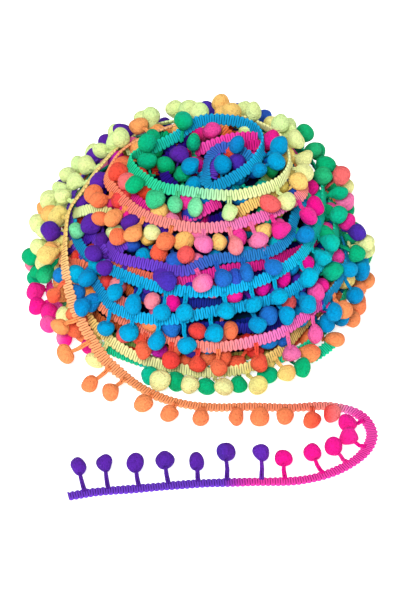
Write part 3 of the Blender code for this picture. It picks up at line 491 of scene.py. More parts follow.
# Pompoms that peep out between the turns: a bearing, a rise, a depth and a dye
TUCKED_POMPOMS = (
    # left edge
    (88, 5, -3.5, 8), (88, 15, -7.5, 8.1), (87, 14, -4, 5.4), (79, 24, 0, 3.8), (87, 10, -6, 1.7),
    (83, 11, 1, 1.1), (76, 20, 1, 3.6), (72, 15, 1, 3.4), (68, 7, 3, 7), (85, 1, -5.5, 1.1),
    (70, -3, -5.5, 1.1), (62, 4, 0, 2.8), (61, -3, -1, 1.4), (56, -3, -3, 2.9), (52, -1, 1, 4.6),
    (48, -3, -1.5, 1.1), (45, -3, -1.5, 5), (83, -3, -7, 1.1),
    # left front
    (52, 25, 2, 11.4), (51, 28, 2, 2.2), (47, 23, 2, 11.1), (33, 19, 2, 2.3), (30, 14, 2, 2.3),
    (23, 15, 1, 2.5), (19, 12, 1, 0.7), (12, 14, 1, 2.6), (1, 21, 2, 2.4), (0, 9, 1, 2.6),
    (10, 23, 3, 11.6), (-2, 43, 0, 1.6), (17, 35, 2, 1.8), (13, 35, 3, 1), (17, 43, 3, 12.8),
    (30, -1, 2, 2.3), (49, 40, -1, 13), (59, 30, 1, 10.2), (53, 32, -1, 10.1), (73, 11, 2, 3.2),
    # right front
    (-2, 43, 1, 1.5), (-9, 48, 3, 11), (-17, 35, 2, 1), (-44, 32, 1, 1.1), (-32, 34, 2, 1),
    (-57, 35, 2, 1), (-54, 31, 0, 10.6), (-52, 26, 2, 11.3), (-47, 23, 0, 10.8), (-45, 26, 3, 2.3),
    (-59, 22, 2, 1.1), (-56, 19, 0, 1.2), (-57, 18, 1, 1.3), (-67, 32, 0, 9.5),
    (-72, 25, 0, 8.3), (-65, 25, 0, 8.4), (-77, 32, 0, 8.3), (-31, 24, 3, 11.6), (-90, 5, -4.5, 10.7),
    (-85, -2, -3, 10.9), (-68, 2, -1, 10.8), (-57, 8, -1, 10.6), (-89, 5, -10, 3), (-87, 1, -6.5, 3),
    (-76, -2, -3, 3), (-64, -3, -1, 2.7), (-45, 2, -1, 3), (-46, 8, 2, 2.2),
    (-13, 20, 1, 2.8), (-21, 21, 2, 2.4), (-8, 11, 0, 2.5), (-24, 7, 1, 2.2), (-27, 12, 2, 11.4),
    (-5, 14, 2, 11.2), (-94, 6, -4.5, 5.3), (-78, 27, 3, 1.1), (-81, 9, 3, 12.6), (-75, 10, 4, 2.6),
    (-85, 7, -2, 10.8), (-100, 17, 0, 8.1), (-77, 13, -5, 4.6), (-50, 7, -4, 2.5),
    # right top
    (-107, 35, -8, 2.1), (-109, 28, -9, 5.3), (-104, 28, -4, 1.4), (-93, 25, -10.5, 12.8),
    (-93, 21, -12.5, 5.7), (-95, 30, 0, 8.1), (-84, 32, 2, 1.2), (-101, 44, 1, 1.1), (-84, 47, 1, 1.1),
    (-113, 36, -4, 8.1), (-117, 38, -0.5, 8.2), (-103, 28, 0, 1.1), (-99, 51, 0, 4.8),
    (-79, 58, 2, 4.5), (-85, 53, 3, 12), (-69, 58, 2, 4.9), (-66, 53, 2, 4.8), (-44, 55, 2, 4.6),
    (-59, 62, 2, 2.1), (-10, 69, 3, 11.2), (-30, 57, 3, 1.1), (-52, 51, 1, 1.1), (-11, 57, 1, 4.4),
    (-3, 57, 1, 1.5), (-36, 53, 0, 1.4), (-37, 58, 3, 2.8), (-78, 52, 3, 3), (-88, 20, -11.5, 5.6),
    (-95, 26, -3.5, 1.2), (-90, 34, 4, 1.1),
    # crown
    (-165, 72, 3, 1.1), (-125, 73, 4, 10.2), (-103, 75, 3, 12.7), (-82, 81, 1, 10.7),
    (-119, 62, 1, 1.0), (23, 84, 3, 10.7),
    (160, 86, 5, 1.0), (66, 83, 3, 8.1), (113, 81, 3, 13), (128, 67, 3, 8.2), (110, 75, 4, 8.1),
    (91, 72, 4, 8.2), (104, 76, 5, 8.1), (171, 80, -1, 8.2), (160, 73, 7, 12.9),
    (-94, 71, 5, 11.6), (-77, 87, 5, 11.6), (-112, 68, 4, 11.2), (-119, 71, 6, 1),
    (-56, 80, 4, 11.8), (-73, 75, 4, 10.8), (143, 75, 5, 12.6),
    # left top
    (113, 61, 3, 2.4), (96, 63, 3, 2.6), (80, 63, 1, 2.5), (70, 65, 2, 2.2), (67, 61, 3, 2.2),
    (91, 55, 2, 0.3), (78, 53, 1, 2.8), (67, 56, 1, 1.4), (61, 54, 1, 2.8), (61, 57, 3, 1.1),
    (50, 56, 1, 12.9), (33, 52, 2, 10.9), (31, 57, 2, 5.4), (21, 55, 0, 2.6), (41, 57, 4, 4.3),
    (11, 58, 1, 4.2), (7, 55, 0, 2.3), (35, 65, 2, 4.2), (18, 65, 2, 1.4), (15, 68, 4, 1.1),
    (69, 45, 0, 13), (58, 50, 1, 6), (73, 38, 1, 7), (42, 54, 0, 2.7), (80, 60, 5, 2.4),
    (81, 68, 4, 2.4), (67, 66, 5, 2.6),
    # left top edge
    (128, 45, -3, 6), (123, 59, -3, 6), (151, 52, -3.5, 6),
    (94, 25, -7.5, 5.9), (94, 17, -5.5, 5.8), (84, 29, 0, 4.9), (99, 26, -5.5, 3.8),
    (112, 29, -3, 13), (136, 42, -3.5, 13), (127, 39, 0, 13), (93, 26, -1, 13), (144, 51, -3, 13),
    (98, 27, 1, 4.6), (96, 37, 0, 5.9), (150, 52, 0, 3.6), (119, 61, 0, 3.7),
    # top edge
    (-123, 58, -4.5, 6),
    (-137, 39, -1.5, 5.6), (-134, 40, -7, 8),
)

# A trim's course: its middle, its face's normal, its direction, the way to its pompom edge, and its dye
Course = namedtuple("Course", "middle face along edge dye")
Pompoms = namedtuple("Pompoms", "root centre face along dye fade")


def unit(vectors):
    return vectors / np.linalg.norm(vectors, axis=-1, keepdims=True)


def wobble(index, kind):
    """A number from -1 to 1 that looks random and is always the same for one index and kind."""
    value = np.sin(12.9898 * (index + 1) + 78.233 * (kind + 1)) * 43758.5453
    return 2 * (value - np.floor(value)) - 1


def on_roll(places):
    """Rows of a point, a face normal and a dye for places on the roll."""
    bearing, radius, height, tilt, dye = np.array(places, float).T
    bearing, tilt = np.radians(bearing), np.radians(tilt)
    outwards = np.stack([-np.sin(bearing), -np.cos(bearing)], 1)
    points = np.column_stack([outwards * radius[:, None], height])
    normals = np.column_stack([outwards * np.cos(tilt)[:, None], np.sin(tilt)])
    return np.column_stack([points, normals, dye])


def on_table(bends):
    """Rows of a point, an upward face normal and a dye for bends of the loose end."""
    bends = np.array(bends, float)
    return np.column_stack([bends[:, :3], np.tile([0.0, 0.0, 1.0], (len(bends), 1)), bends[:, 3]])


def smooth(rows, step):
    """The rows joined by a Catmull-Rom curve and read off again at even steps of length."""
    ends = 2 * rows[0] - rows[1], 2 * rows[-1] - rows[-2]
    padded = np.vstack([ends[0], rows, ends[1]])
    t = np.linspace(0, 1, CURVE_STEPS, endpoint=False)[:, None]
    pieces = []
    for a, b, c, d in zip(padded[:-3], padded[1:-2], padded[2:-1], padded[3:]):
        bend = (c - a) * t + (2 * a - 5 * b + 4 * c - d) * t**2 + (3 * b - 3 * c + d - a) * t**3
        pieces.append(b + 0.5 * bend)
    fine = np.vstack([*pieces, rows[-1:]])
    length = np.concatenate([[0], np.cumsum(np.linalg.norm(np.diff(fine[:, :3], axis=0), axis=1))])
    wanted = np.linspace(0, length[-1], round(length[-1] / step) + 1)
    return np.stack([np.interp(wanted, length, column) for column in fine.T], 1)


def course_of(*stretches):
    rows = smooth(np.vstack(stretches), SAMPLE_STEP)
    middle = rows[:, :3]
    along = unit(np.gradient(middle, axis=0))
    face = rows[:, 3:6]
    face = unit(face - (face * along).sum(1, keepdims=True) * along)
    return Course(middle, face, along, np.cross(face, along), rows[:, 6])


def cut(course, start, end):
    """The part of a course between two distances from its start."""
    rows = slice(round(start / SAMPLE_STEP), round(end / SAMPLE_STEP) + 1)
    return Course(*(column[rows] for column in course))


def redyed(course, ranges):
    """The course with other dyes in each range, and whole turns of the wheel added where they join up."""
    dye = course.dye.copy()
    distance = np.arange(len(dye)) * SAMPLE_STEP
    for stops in ranges:
        at, wanted = np.array(stops).T
        first, after = np.searchsorted(distance, (at[0], at[-1]))
        wanted += WHEEL * round((dye[first] - wanted[0]) / WHEEL)
        dye[first:after] = np.interp(distance[first:after], at, wanted)
        dye[after:] += WHEEL * round((wanted[-1] - dye[after]) / WHEEL)
    return course._replace(dye=dye)


def length_of(course):
    return (len(course.middle) - 1) * SAMPLE_STEP


def distance_to(course, place):
    """How far along a course it passes a place of its table."""
    gap = np.linalg.norm(course.middle - on_roll([place])[0, :3], axis=1)
    return gap.argmin() * SAMPLE_STEP


def read_at(course, distances):
    """The course at distances along it, between its samples too."""
    samples = np.arange(len(course.middle)) * SAMPLE_STEP
    middle, face, along, edge = (
        np.stack([np.interp(distances, samples, part) for part in column.T], 1) for column in course[:4])
    return Course(middle, unit(face), unit(along), unit(edge), np.interp(distances, samples, course.dye))


def core_radius(directions, turns):
    """How far the core reaches in each direction: just under the turns, following the outermost."""
    samples = turns[::EVERY_FEW]
    reach = np.linalg.norm(samples, axis=1)
    angle = np.arccos(np.clip(directions @ unit(samples).T, -1, 1))
    weight = np.exp(-((angle * DOME_RADIUS / CORE_BLEND) ** 2)) + LEAST_WEIGHT
    return (weight * reach).sum(1) / weight.sum(1) - CORE_INSET


def sunk(points, turns):
    """How far points lie in the shade under the outer turns: 0 beside them, 1 deep down."""
    depth = core_radius(unit(points), turns) + CORE_INSET - np.linalg.norm(points, axis=1)
    return (depth - SHADE_STARTS) / SHADE_DEPTH


def hung_pompoms(course, kind, hangs=None, pressed_in=(), own_dyes=None):
    """The pompoms of a course before they settle."""
    hangs = hangs or {}
    own_dyes = own_dyes or {}
    count = len(np.arange(FIRST_POMPOM, length_of(course) - BARE_END, POMPOM_SPACING))
    number = np.array([each for each in range(count) if each not in pressed_in])
    reaches = POMPOM_REACH + UNEVEN_REACH * wobble(number, kind + 1)
    own = [hangs.get(each, (0, reach, POMPOM_LIFT)) for each, reach in zip(number, reaches)]
    shift, reach, lift = np.array(own).T
    at = FIRST_POMPOM + POMPOM_SPACING * number + UNEVEN_SPACING * wobble(number, kind) + shift
    rows = np.round(at / SAMPLE_STEP).astype(int)
    middle, face, along, edge, dye = (column[rows] for column in course)
    sways = np.array([each not in hangs for each in number])
    sway = along * (UNEVEN_SWAY * wobble(number, kind + 2) * sways)[:, None]
    centre = middle + edge * reach[:, None] + face * lift[:, None] + sway
    fade = np.gradient(course.dye)[rows] / SAMPLE_STEP
    dye = np.array([own_dyes.get(each, usually) for each, usually in zip(number, dye)])
    return Pompoms(middle + edge * (TAPE_WIDTH / 2), centre, face, along, dye, fade)


def spread(centres, room):
    """The pompoms' middles, each pair of them pushed apart where it is closer than a room."""
    apart = centres[:, None] - centres[None]
    distance = np.linalg.norm(apart, axis=2) + np.eye(len(centres)) * OUT_OF_REACH
    push = np.clip(room - distance, 0, None) / 2
    return centres + (apart * (push / distance)[..., None]).sum(1)


def on_stems(roots, centres, shortest, longest):
    """The pompoms' middles, brought to where their stems can hold them."""
    arm = centres - roots
    length = np.linalg.norm(arm, axis=1, keepdims=True)
    return roots + arm / length * np.clip(length, shortest, longest)


def settled(pompoms, tapes, turns):
    """The pompoms once they stand clear of each other, of the tapes, the core and the table."""
    roots, centres = pompoms.root, pompoms.centre
    on_dome = (np.linalg.norm(roots, axis=1) < ROLL_REACH)[:, None]
    longest = np.maximum(LONGEST_ARM, np.linalg.norm(centres - roots, axis=1, keepdims=True))
    for _ in range(SETTLING_ROUNDS):
        centres = spread(centres, POMPOM_APART)
        outwards = unit(centres) * on_dome * SETTLING_RATE
        nearest = np.linalg.norm(centres[:, None] - tapes[None], axis=2).min(1)
        centres = centres + outwards * np.clip(POMPOM_CLEAR - nearest, 0, None)[:, None]
        covered = core_radius(unit(centres), turns) + CORNER_RADIUS
        short = covered - np.linalg.norm(centres, axis=1)
        centres = centres + outwards * np.clip(short, 0, None)[:, None]
        centres = on_stems(roots, centres, SHORTEST_ARM, longest)
        centres[:, 2] = np.maximum(centres[:, 2], RESTING_HEIGHT)
    centres[centres[:, 2] < RESTING_HEIGHT + NEARLY_RESTING, 2] = RESTING_HEIGHT
    return pompoms._replace(centre=centres)


def tape_lines(courses):
    """Points along both halves of each course's tape."""
    return np.vstack([
        course.middle[::EVERY_FEW] + course.edge[::EVERY_FEW] * side
        for course in courses for side in (-TAPE_WIDTH / 3, TAPE_WIDTH / 3)])


def some(pompoms, wanted):
    return Pompoms(*(column[wanted] for column in pompoms))


def together(*groups):
    return Pompoms(*map(np.concatenate, zip(*groups)))


def pointing(bearing, rise):
    """The directions from the middle of the roll's foot to bearings and rises in radians."""
    return np.stack([-np.sin(bearing) * np.cos(rise), -np.cos(bearing) * np.cos(rise), np.sin(rise)], -1)


def towards(bearing, rise):
    """The directions from the middle of the roll's foot to bearings and rises in degrees."""
    return pointing(np.radians(bearing), np.radians(rise))


def course_among(rows, normals, turns):
    """A course at bearings, rises and depths under the outer turns, with its face's normals."""
    bearing, rise, depth, dye = rows.T
    direction = towards(bearing, rise)
    points = direction * (core_radius(direction, turns) + CORE_INSET - depth)[:, None]
    return course_of(np.column_stack([points, normals, dye]))


def short_course(rows, turns):
    """A short stretch of a turn among the outer ones."""
    rows = np.array(rows, float)
    return course_among(rows, towards(rows[:, 0], rows[:, 1] * INNER_TILT), turns)


def inner_course(turn, number, turns):
    """One of the turns that lie under the outer ones."""
    bearing = np.arange(INNER_DYED_AT[0], INNER_DYED_AT[-1] + 1, INNER_STEP)
    step = np.arange(len(bearing)) + len(bearing) * number
    climbed = INNER_CLIMB * (bearing - bearing[0]) / 360
    rise = turn.rise + climbed + INNER_WANDER * wobble(step, 4)
    depth = turn.depth + INNER_WAVE * wobble(step, 5)
    dye = np.interp(bearing, INNER_DYED_AT, turn[2:])
    normals = pointing(np.radians(bearing), np.radians(rise) * INNER_TILT)
    return course_among(np.column_stack([bearing, rise, depth, dye]), normals, turns)


def leaning_course(lean, bends):
    """A short stretch whose face leans over towards the front by an angle."""
    rows = on_table(bends)
    rows[:, 3:6] = 0, -math.sin(math.radians(lean)), math.cos(math.radians(lean))
    return course_of(rows)


def peeping_pompoms(turns):
    """The pompoms that peep out, with their stems going straight in."""
    bearing, rise, depth, dye = np.array(TUCKED_POMPOMS, float).T
    direction = towards(bearing, rise)
    reach = core_radius(direction, turns) + CORE_INSET - depth
    centre = direction * reach[:, None]
    root = direction * (reach - PEEPING_STEM)[:, None]
    along = towards(bearing + 90, np.zeros(len(bearing)))
    return Pompoms(root, centre, direction, along, dye, np.zeros(len(dye)))


def tucked(pompoms, outer, tapes, turns, proud):
    """The inner turns' pompoms, pushed into the room that the outer turns and pompoms leave them."""
    roots, centres = pompoms.root, pompoms.centre
    for _ in range(TUCKING_ROUNDS):
        centres = spread(centres, INNER_APART)
        for others, room in ((outer.centre, INNER_APART), (tapes, INNER_CLEAR)):
            away = centres[:, None] - others[None]
            distance = np.linalg.norm(away, axis=2)
            nearest = distance.argmin(1)
            row = np.arange(len(centres))
            push = np.clip(room - distance[row, nearest], 0, None) * TUCKING_RATE
            centres = centres + unit(away[row, nearest]) * push[:, None]
        centres = on_stems(roots, centres, SHORTEST_ARM, LONGEST_INNER_ARM)
        surface = core_radius(unit(centres), turns)
        reach = np.linalg.norm(centres, axis=1)
        centres = centres * (np.clip(reach, surface - INNER_SUNK, surface + proud) / reach)[:, None]
        centres[:, 2] = np.maximum(centres[:, 2], POMPOM_RADIUS)
    free = np.linalg.norm(centres[:, None] - outer.centre[None], axis=2).min(1) > INNER_CRUSHED
    return some(pompoms._replace(centre=centres), free)


def make_piece(name, points, faces, marks, finish):
    """A piece from points in millimetres, with a number for each point under each mark's name."""
    mesh = bpy.data.meshes.new(name)
    mesh.from_pydata(points * MM, [], faces)
    for mark, values in marks.items():
        mesh.attributes.new(mark, "FLOAT", "POINT").data.foreach_set("value", values.astype(np.float32))
    mesh.shade_smooth()
    mesh.materials.append(finish)
    obj = bpy.data.objects.new(name, mesh)
    bpy.context.scene.collection.objects.link(obj)
    return obj


def tube_faces(rows, around):
    """The quads of a tube of closed rings, and the two lids at its ends."""
    ring = np.arange(around)
    start = (np.arange(rows - 1) * around)[:, None]
    following = (ring + 1) % around
    quads = np.stack([start + ring, start + following, start + around + following, start + around + ring], 2)
    return quads.reshape(-1, 4).tolist() + [ring[::-1].tolist(), (ring + (rows - 1) * around).tolist()]


def braid_section(columns):
    """Across and up for the points round a braid's section, from one edge over its face and back under."""
    over = np.array(columns)
    top = 1 - ROUNDED_EDGE * over**2
    across = np.concatenate([[-1.0], over, [1.0], over[::-1]])
    up = np.concatenate([[0.0], top, [0.0], -top[::-1]])
    return across, up


def make_braid(name, course, columns, rows_per_rib, finish, turns=None):
    """A gimp braid: ribs across a tape, which turn back in pairs at each edge and leave it scalloped."""
    across, up = braid_section(columns)
    ribs = 2 * round(length_of(course) / RIB_PITCH / 2)
    row = np.arange(ribs * rows_per_rib + 1)
    rib = row / rows_per_rib
    here = read_at(course, rib * (length_of(course) / ribs))
    groove = (row % rows_per_rib == 0).astype(float)
    side = np.where(np.round(rib) % 2 == 0, 1, -1)[:, None] * across[None]
    turned_back = np.clip(side * LOOP_STEEPNESS - LOOP_STARTS, 0, 1)
    # How deep each rib's groove is, which also sets the painted shade in it.
    hollow = groove[:, None] * (1 - turned_back) * (np.abs(across) < 1)[None]
    swing = np.cos(np.pi * rib)[:, None] * np.sign(across)[None]
    reach = TAPE_WIDTH / 2 + SCALLOP * (swing - 1) * np.abs(across)[None] ** 3
    wide = across[None] * reach * (1 + UNEVEN_WIDTH * np.sin(rib * WIDTH_WAVE)[:, None])
    thick = up[None] * TAPE_THICKNESS / 2 - np.sign(up)[None] * hollow * GROOVE_DEPTH
    lean = RIB_LEAN * np.sin(rib * LEAN_WAVE + LEAN_START)[:, None] * across[None]
    points = (
        here.middle[:, None] + here.edge[:, None] * wide[..., None]
        + here.face[:, None] * thick[..., None] + here.along[:, None] * lean[..., None])
    rings = len(across)
    # Painted shade on the braid, darker the deeper it lies under the outer turns.
    shade = np.zeros(len(row)) if turns is None else np.clip(sunk(here.middle, turns), 0, 1)
    marks = {
        "dye": np.repeat(here.dye, rings),
        "sunk": np.repeat(shade, rings),
        "hollow": hollow.ravel(),
        "across": np.tile(across, len(row)),
        "rib": np.repeat(rib, rings),
    }
    return make_piece(name, points.reshape(-1, 3), tube_faces(len(row), rings), marks, finish)


def ball(detail):
    """The points and faces of a round ball."""
    mesh = bpy.data.meshes.new("ball")
    bm = bmesh.new()
    bmesh.ops.create_icosphere(bm, subdivisions=detail, radius=1)
    bm.to_mesh(mesh)
    bm.free()
    points = np.array([vert.co for vert in mesh.vertices])
    faces = np.array([face.vertices for face in mesh.polygons])
    bpy.data.meshes.remove(mesh)
    return points, faces


def pompom_shape(skin, seed):
    """A yarn pompom with its stem along +Z: squashed, pear-shaped or dimpled, each in its own way.
    Also how much painted shade lies in its dimple and at its neck.
    """
    size = YARN_RADIUS * (1 + SIZE_SPREAD * wobble(seed, 12))
    squash = SQUASH * wobble(seed, 13)
    spread = 1 + ROUND_SPREAD * wobble(seed, 14)
    pear = np.clip(wobble(seed, 15) * PEAR_SHARE, 0, 1)
    up = np.clip(skin[:, 2], 0, 1)
    lumps = sum(
        np.sin(skin @ unit(wobble(np.arange(3) + 3 * wave, seed)) * (BROADEST_LUMP + wave)
               + LUMP_SHIFT * wobble(seed, wave))
        for wave in range(LUMP_WAVES))
    dimple = np.exp(-((np.arccos(np.clip(skin[:, 2], -1, 1)) / DIMPLE_WIDTH) ** 2)) * (1 - pear)
    reach = size * (1 - DIMPLE_DEPTH * dimple + LUMPINESS * lumps)
    narrowed = 1 - PEAR_NARROWING * pear * up**1.5
    shape = np.column_stack([
        skin[:, 0] * (1 + squash) * narrowed, skin[:, 1] * spread * narrowed,
        skin[:, 2] * (1 - squash * SQUASH_HEIGHT) * (1 + PEAR_LENGTH * pear * up**2)])
    return shape * reach[:, None], np.maximum(dimple, pear * up**3) * SHADED_NECK


def make_pompoms(name, pompoms, kind, detail, finish, turns=None):
    """Yarn pompoms, each in its own shape."""
    skin, skin_faces = ball(detail)
    # Painted shade on the pompoms, darker the deeper each lies under the outer turns.
    shade = np.full(len(pompoms.dye), -1.0) if turns is None else sunk(pompoms.centre, turns)
    points, faces, dyes, painted_neck_shades, shades = [], [], [], [], []
    for number, (root, centre, face, along, dye, fade) in enumerate(zip(*pompoms)):
        seed = number + 0.5 * kind
        stem = unit(root - centre)
        first = unit(np.cross(stem, along + 0.01))
        second = np.cross(stem, first)
        spin = np.pi * wobble(seed, 11)
        u = first * np.cos(spin) + second * np.sin(spin)
        v = np.cross(stem, u)
        local, hollow = pompom_shape(skin, seed)
        placed = centre + local[:, :1] * u + local[:, 1:2] * v + local[:, 2:] * stem
        placed[:, 2] += max(0, FLOOR_CLEAR - placed[:, 2].min())
        points.append(placed)
        faces.append(skin_faces + number * len(skin))
        dyes.append(dye + DYE_SPREAD * wobble(seed, 17) + fade * (placed - centre) @ along)
        painted_neck_shades.append(hollow)
        # The painted shade also deepens on each pompom's side that faces into the roll.
        shades.append(np.clip(shade[number] - (placed - centre) @ unit(centre) / SHADE_DEPTH, 0, 1))
    marks = {"dye": np.concatenate(dyes), "hollow": np.concatenate(painted_neck_shades), "sunk": np.concatenate(shades)}
    return make_piece(name, np.vstack(points), np.vstack(faces).tolist(), marks, finish)


def make_stems(name, pompoms, kind, finish):
    """Two yarns from each pompom, which run side by side over the braid's edge and into its face."""
    turned = np.arange(STEM_SIDES) * 2 * np.pi / STEM_SIDES
    points, faces, dyes = [], [], []
    for number, (root, centre, face, along, dye, _) in enumerate(zip(*pompoms)):
        edge = unit(np.cross(face, along))
        stem = unit(centre - root)
        seed = number + 0.5 * kind
        for side in (-1, 1):
            beside = along * (side * YARNS_APART / 2)
            line = np.array([
                root - edge * STEM_TIED_IN + face * (TAPE_THICKNESS / 2 - STEM_SUNK),
                root - edge * STEM_AT_EDGE + face * (TAPE_THICKNESS / 2 + STEM_PROUD),
                root + edge * STEM_AT_EDGE + stem * STEM_TURNS,
                root * (1 - WANDERS_AT) + centre * WANDERS_AT + along * wobble(seed, 18) * STEM_WANDER,
                centre - stem * (POMPOM_RADIUS * STEM_ENTERS),
                centre - stem * (POMPOM_RADIUS * STEM_ENDS),
            ])
            line = line + beside * np.array(YARNS_CLOSE_UP)[:, None]
            direction = unit(np.gradient(line, axis=0))
            first = unit(np.cross(direction, unit(np.cross(edge, along))[None]))
            second = np.cross(direction, first)
            ring = (
                first[:, None] * np.cos(turned)[None, :, None]
                + second[:, None] * np.sin(turned)[None, :, None])
            faces += [[corner + len(points) * len(line) * STEM_SIDES for corner in quad]
                      for quad in tube_faces(len(line), STEM_SIDES)]
            placed = (line[:, None] + ring * STEM_YARN).reshape(-1, 3)
            placed[:, 2] = np.maximum(placed[:, 2], FLOOR_CLEAR)
            points.append(placed)
            dyes.append(np.full(len(line) * STEM_SIDES, dye))
    plain = np.zeros(len(dyes) * len(dyes[0]))
    marks = {"dye": np.concatenate(dyes), "hollow": plain, "sunk": plain}
    return make_piece(name, np.vstack(points), faces, marks, finish)


class Signal:
    """A shader socket's number. Sums on it add the Math nodes that work them out."""

    def __init__(self, finish, socket):
        self.finish = finish
        self.socket = socket

    def math(self, operation, *others):
        inputs = dict(enumerate((self, *others)))
        return self.finish.node("ShaderNodeMath", {"operation": operation}, inputs)

    def __add__(self, other):
        return self.math("ADD", other)

    def __sub__(self, other):
        return self.math("SUBTRACT", other)

    def __rsub__(self, other):
        return (self * -1).math("ADD", other)

    def __mul__(self, other):
        return self.math("MULTIPLY", other)

    def __truediv__(self, other):
        return self.math("DIVIDE", other)

    __radd__ = __add__
    __rmul__ = __mul__


class Finish:
    """A material in the making. All its nodes come from node()."""

    def __init__(self, name, constants):
        self.material = bpy.data.materials.new(name)
        self.material.use_nodes = True
        self.tree = self.material.node_tree
        self.surface = self.tree.nodes["Principled BSDF"]
        for socket, value in constants.items():
            self.surface.inputs[socket].default_value = value

    def node(self, kind, settings=(), inputs=(), output=0):
        """Adds a node: first its settings, then the values or links of its sockets."""
        made = self.tree.nodes.new(kind)
        for setting, value in dict(settings).items():
            if setting == "stops":
                self.set_stops(made.color_ramp, value)
            else:
                setattr(made, setting, value)
        for socket, value in dict(inputs).items():
            if isinstance(value, Signal):
                self.tree.links.new(value.socket, made.inputs[socket])
            else:
                made.inputs[socket].default_value = value
        return Signal(self, made.outputs[output])

    def set_stops(self, ramp, stops):
        while len(ramp.elements) < len(stops):
            ramp.elements.new(1)
        for element, (at, colour) in zip(ramp.elements, stops):
            element.position = at
            element.color = colour

    def feed(self, socket, signal):
        self.tree.links.new(signal.socket, self.surface.inputs[socket])

    def mark(self, name):
        return self.node("ShaderNodeAttribute", {"attribute_name": name}, output="Fac")

    def noise(self, size_mm, detail=2.0):
        """Noise with lumps of a size, through the solid piece."""
        place = self.node("ShaderNodeTexCoord", output="Object")
        inputs = {"Vector": place, "Scale": 1 / (size_mm * MM), "Detail": detail}
        return self.node("ShaderNodeTexNoise", inputs=inputs)

    def brightened(self, colour, by):
        return self.node("ShaderNodeVectorMath", {"operation": "SCALE"}, {0: colour, "Scale": by})

    def bump(self, height, depth_mm):
        inputs = {"Height": height, "Distance": depth_mm * MM, "Strength": 1.0}
        return self.node("ShaderNodeBump", inputs=inputs)


def linear(hexadecimal):
    """A colour's linear values from its six hexadecimal digits."""
    parts = [int(hexadecimal[at:at + 2], 16) / 255 for at in (0, 2, 4)]
    return [part / 12.92 if part <= 0.04045 else ((part + 0.055) / 1.055) ** 2.4 for part in parts] + [1.0]


def dyed_and_shaded(finish, part):
    """The colour of the trim's dye at each point, a little uneven as yarn takes it up.
    Painted shade deepens and darkens it where it lies deep under the outer turns.
    """
    round_the_wheel = (finish.mark("dye") / WHEEL).math("FRACT")
    stops = [(dye.at / WHEEL, linear(getattr(dye, part))) for dye in DYES]
    dye = finish.node("ShaderNodeValToRGB", {"stops": stops}, {"Fac": round_the_wheel})
    # Painted shade: deeper and darker dye where the yarn lies under the outer turns.
    shade = finish.mark("sunk")
    deeper = finish.node("ShaderNodeGamma", inputs={"Color": dye, "Gamma": shade * DEEP_GAMMA + 1})
    return finish.brightened(deeper, 1 - shade * DEEP_SHADE)


def braid_finish():
    finish = Finish("dyed_gimp_braid_with_painted_shade", YARN)
    hollow = finish.mark("hollow")
    unevenly = finish.noise(UNEVEN_DYE_SIZE)
    fibres = finish.noise(BRAID_FIBRE_SIZE)
    # Painted shade in the grooves between the ribs.
    shaded = 1 - hollow.math("POWER", GROOVE_STEEPNESS) * GROOVE_SHADE
    colour = dyed_and_shaded(finish, "braid")
    least, uneven_share, fibre_share = BRAID_BRIGHTNESS
    brightness = shaded * (least + unevenly * uneven_share + fibres * fibre_share)
    finish.feed("Base Color", finish.brightened(colour, brightness))
    ply = (finish.mark("across") * PLY_ACROSS + finish.mark("rib") * PLY_ALONG).math("SINE")
    finish.feed("Normal", finish.bump(ply * PLY_RELIEF + fibres, BRAID_RELIEF))
    return finish.material


def pompom_finish():
    finish = Finish("dyed_pompom_yarn_with_painted_shade", YARN)
    hollow = finish.mark("hollow")
    tufts = finish.noise(TUFT_SIZE)
    fibres = finish.noise(PILE_SIZE, PILE_DETAIL)
    least, tuft_share, fibre_share = POMPOM_BRIGHTNESS
    # Painted shade in each pompom's dimple and at its neck.
    brightness = (1 - hollow * DIMPLE_SHADE) * (least + tufts * tuft_share + fibres * fibre_share)
    finish.feed("Base Color", finish.brightened(dyed_and_shaded(finish, "pompom"), brightness))
    finish.feed("Normal", finish.bump(tufts * TUFT_RELIEF + fibres, POMPOM_RELIEF))
    return finish.material


def make_room():
    """A white floor, an even white surround and one broad soft light from above the front left."""
    floor_mesh = bpy.data.meshes.new("floor")
    half = FLOOR_SIZE / 2
    corners = [(-half, -half, FLOOR_HEIGHT), (half, -half, FLOOR_HEIGHT),
               (half, half, FLOOR_HEIGHT), (-half, half, FLOOR_HEIGHT)]
    floor_mesh.from_pydata(corners, [], [(0, 1, 2, 3)])
    floor = bpy.data.objects.new("floor", floor_mesh)
    bpy.context.scene.collection.objects.link(floor)
    floor_mesh.materials.append(Finish("white_paper", PAPER).material)
    world = bpy.data.worlds.new("white_surround")
    world.use_nodes = True
    background = world.node_tree.nodes["Background"]
    background.inputs["Color"].default_value = (1, 1, 1, 1)
    background.inputs["Strength"].default_value = SURROUND
    bpy.context.scene.world = world
    light = bpy.data.lights.new("soft_box", "SUN")
    light.energy = SOFT_BOX
    light.angle = math.radians(SOFT_BOX_SPREAD)
    lamp = bpy.data.objects.new("soft_box", light)
    lamp.rotation_euler = [math.radians(part) for part in SOFT_BOX_TURN]
    bpy.context.scene.collection.objects.link(lamp)


def make_camera():
    """A far camera with a long lens, in front of the roll and well above it."""
    rise = math.radians(CAMERA_RISE)
    back = Vector((0, -math.cos(rise), math.sin(rise)))
    turn = back.to_track_quat("Z", "Y").to_matrix()
    aim = turn @ Vector(AIM_OFF_CENTRE) * MM
    camera = bpy.data.cameras.new("camera")
    camera.lens = camera.sensor_width * CAMERA_DISTANCE / VIEW_HEIGHT
    eye = bpy.data.objects.new("camera", camera)
    eye.matrix_world = Matrix.Translation(aim + back * CAMERA_DISTANCE * MM) @ turn.to_4x4()
    bpy.context.scene.collection.objects.link(eye)
    bpy.context.scene.camera = eye
    bpy.context.scene.view_settings.view_transform = "Standard"


def stretches_of(course, turns):
    """A course cut at the first place of each of its turns."""
    starts = [distance_to(course, places[0]) for places in turns.values()] + [length_of(course)]
    return {name: cut(course, start, end) for name, start, end in zip(turns, starts[:-1], starts[1:])}


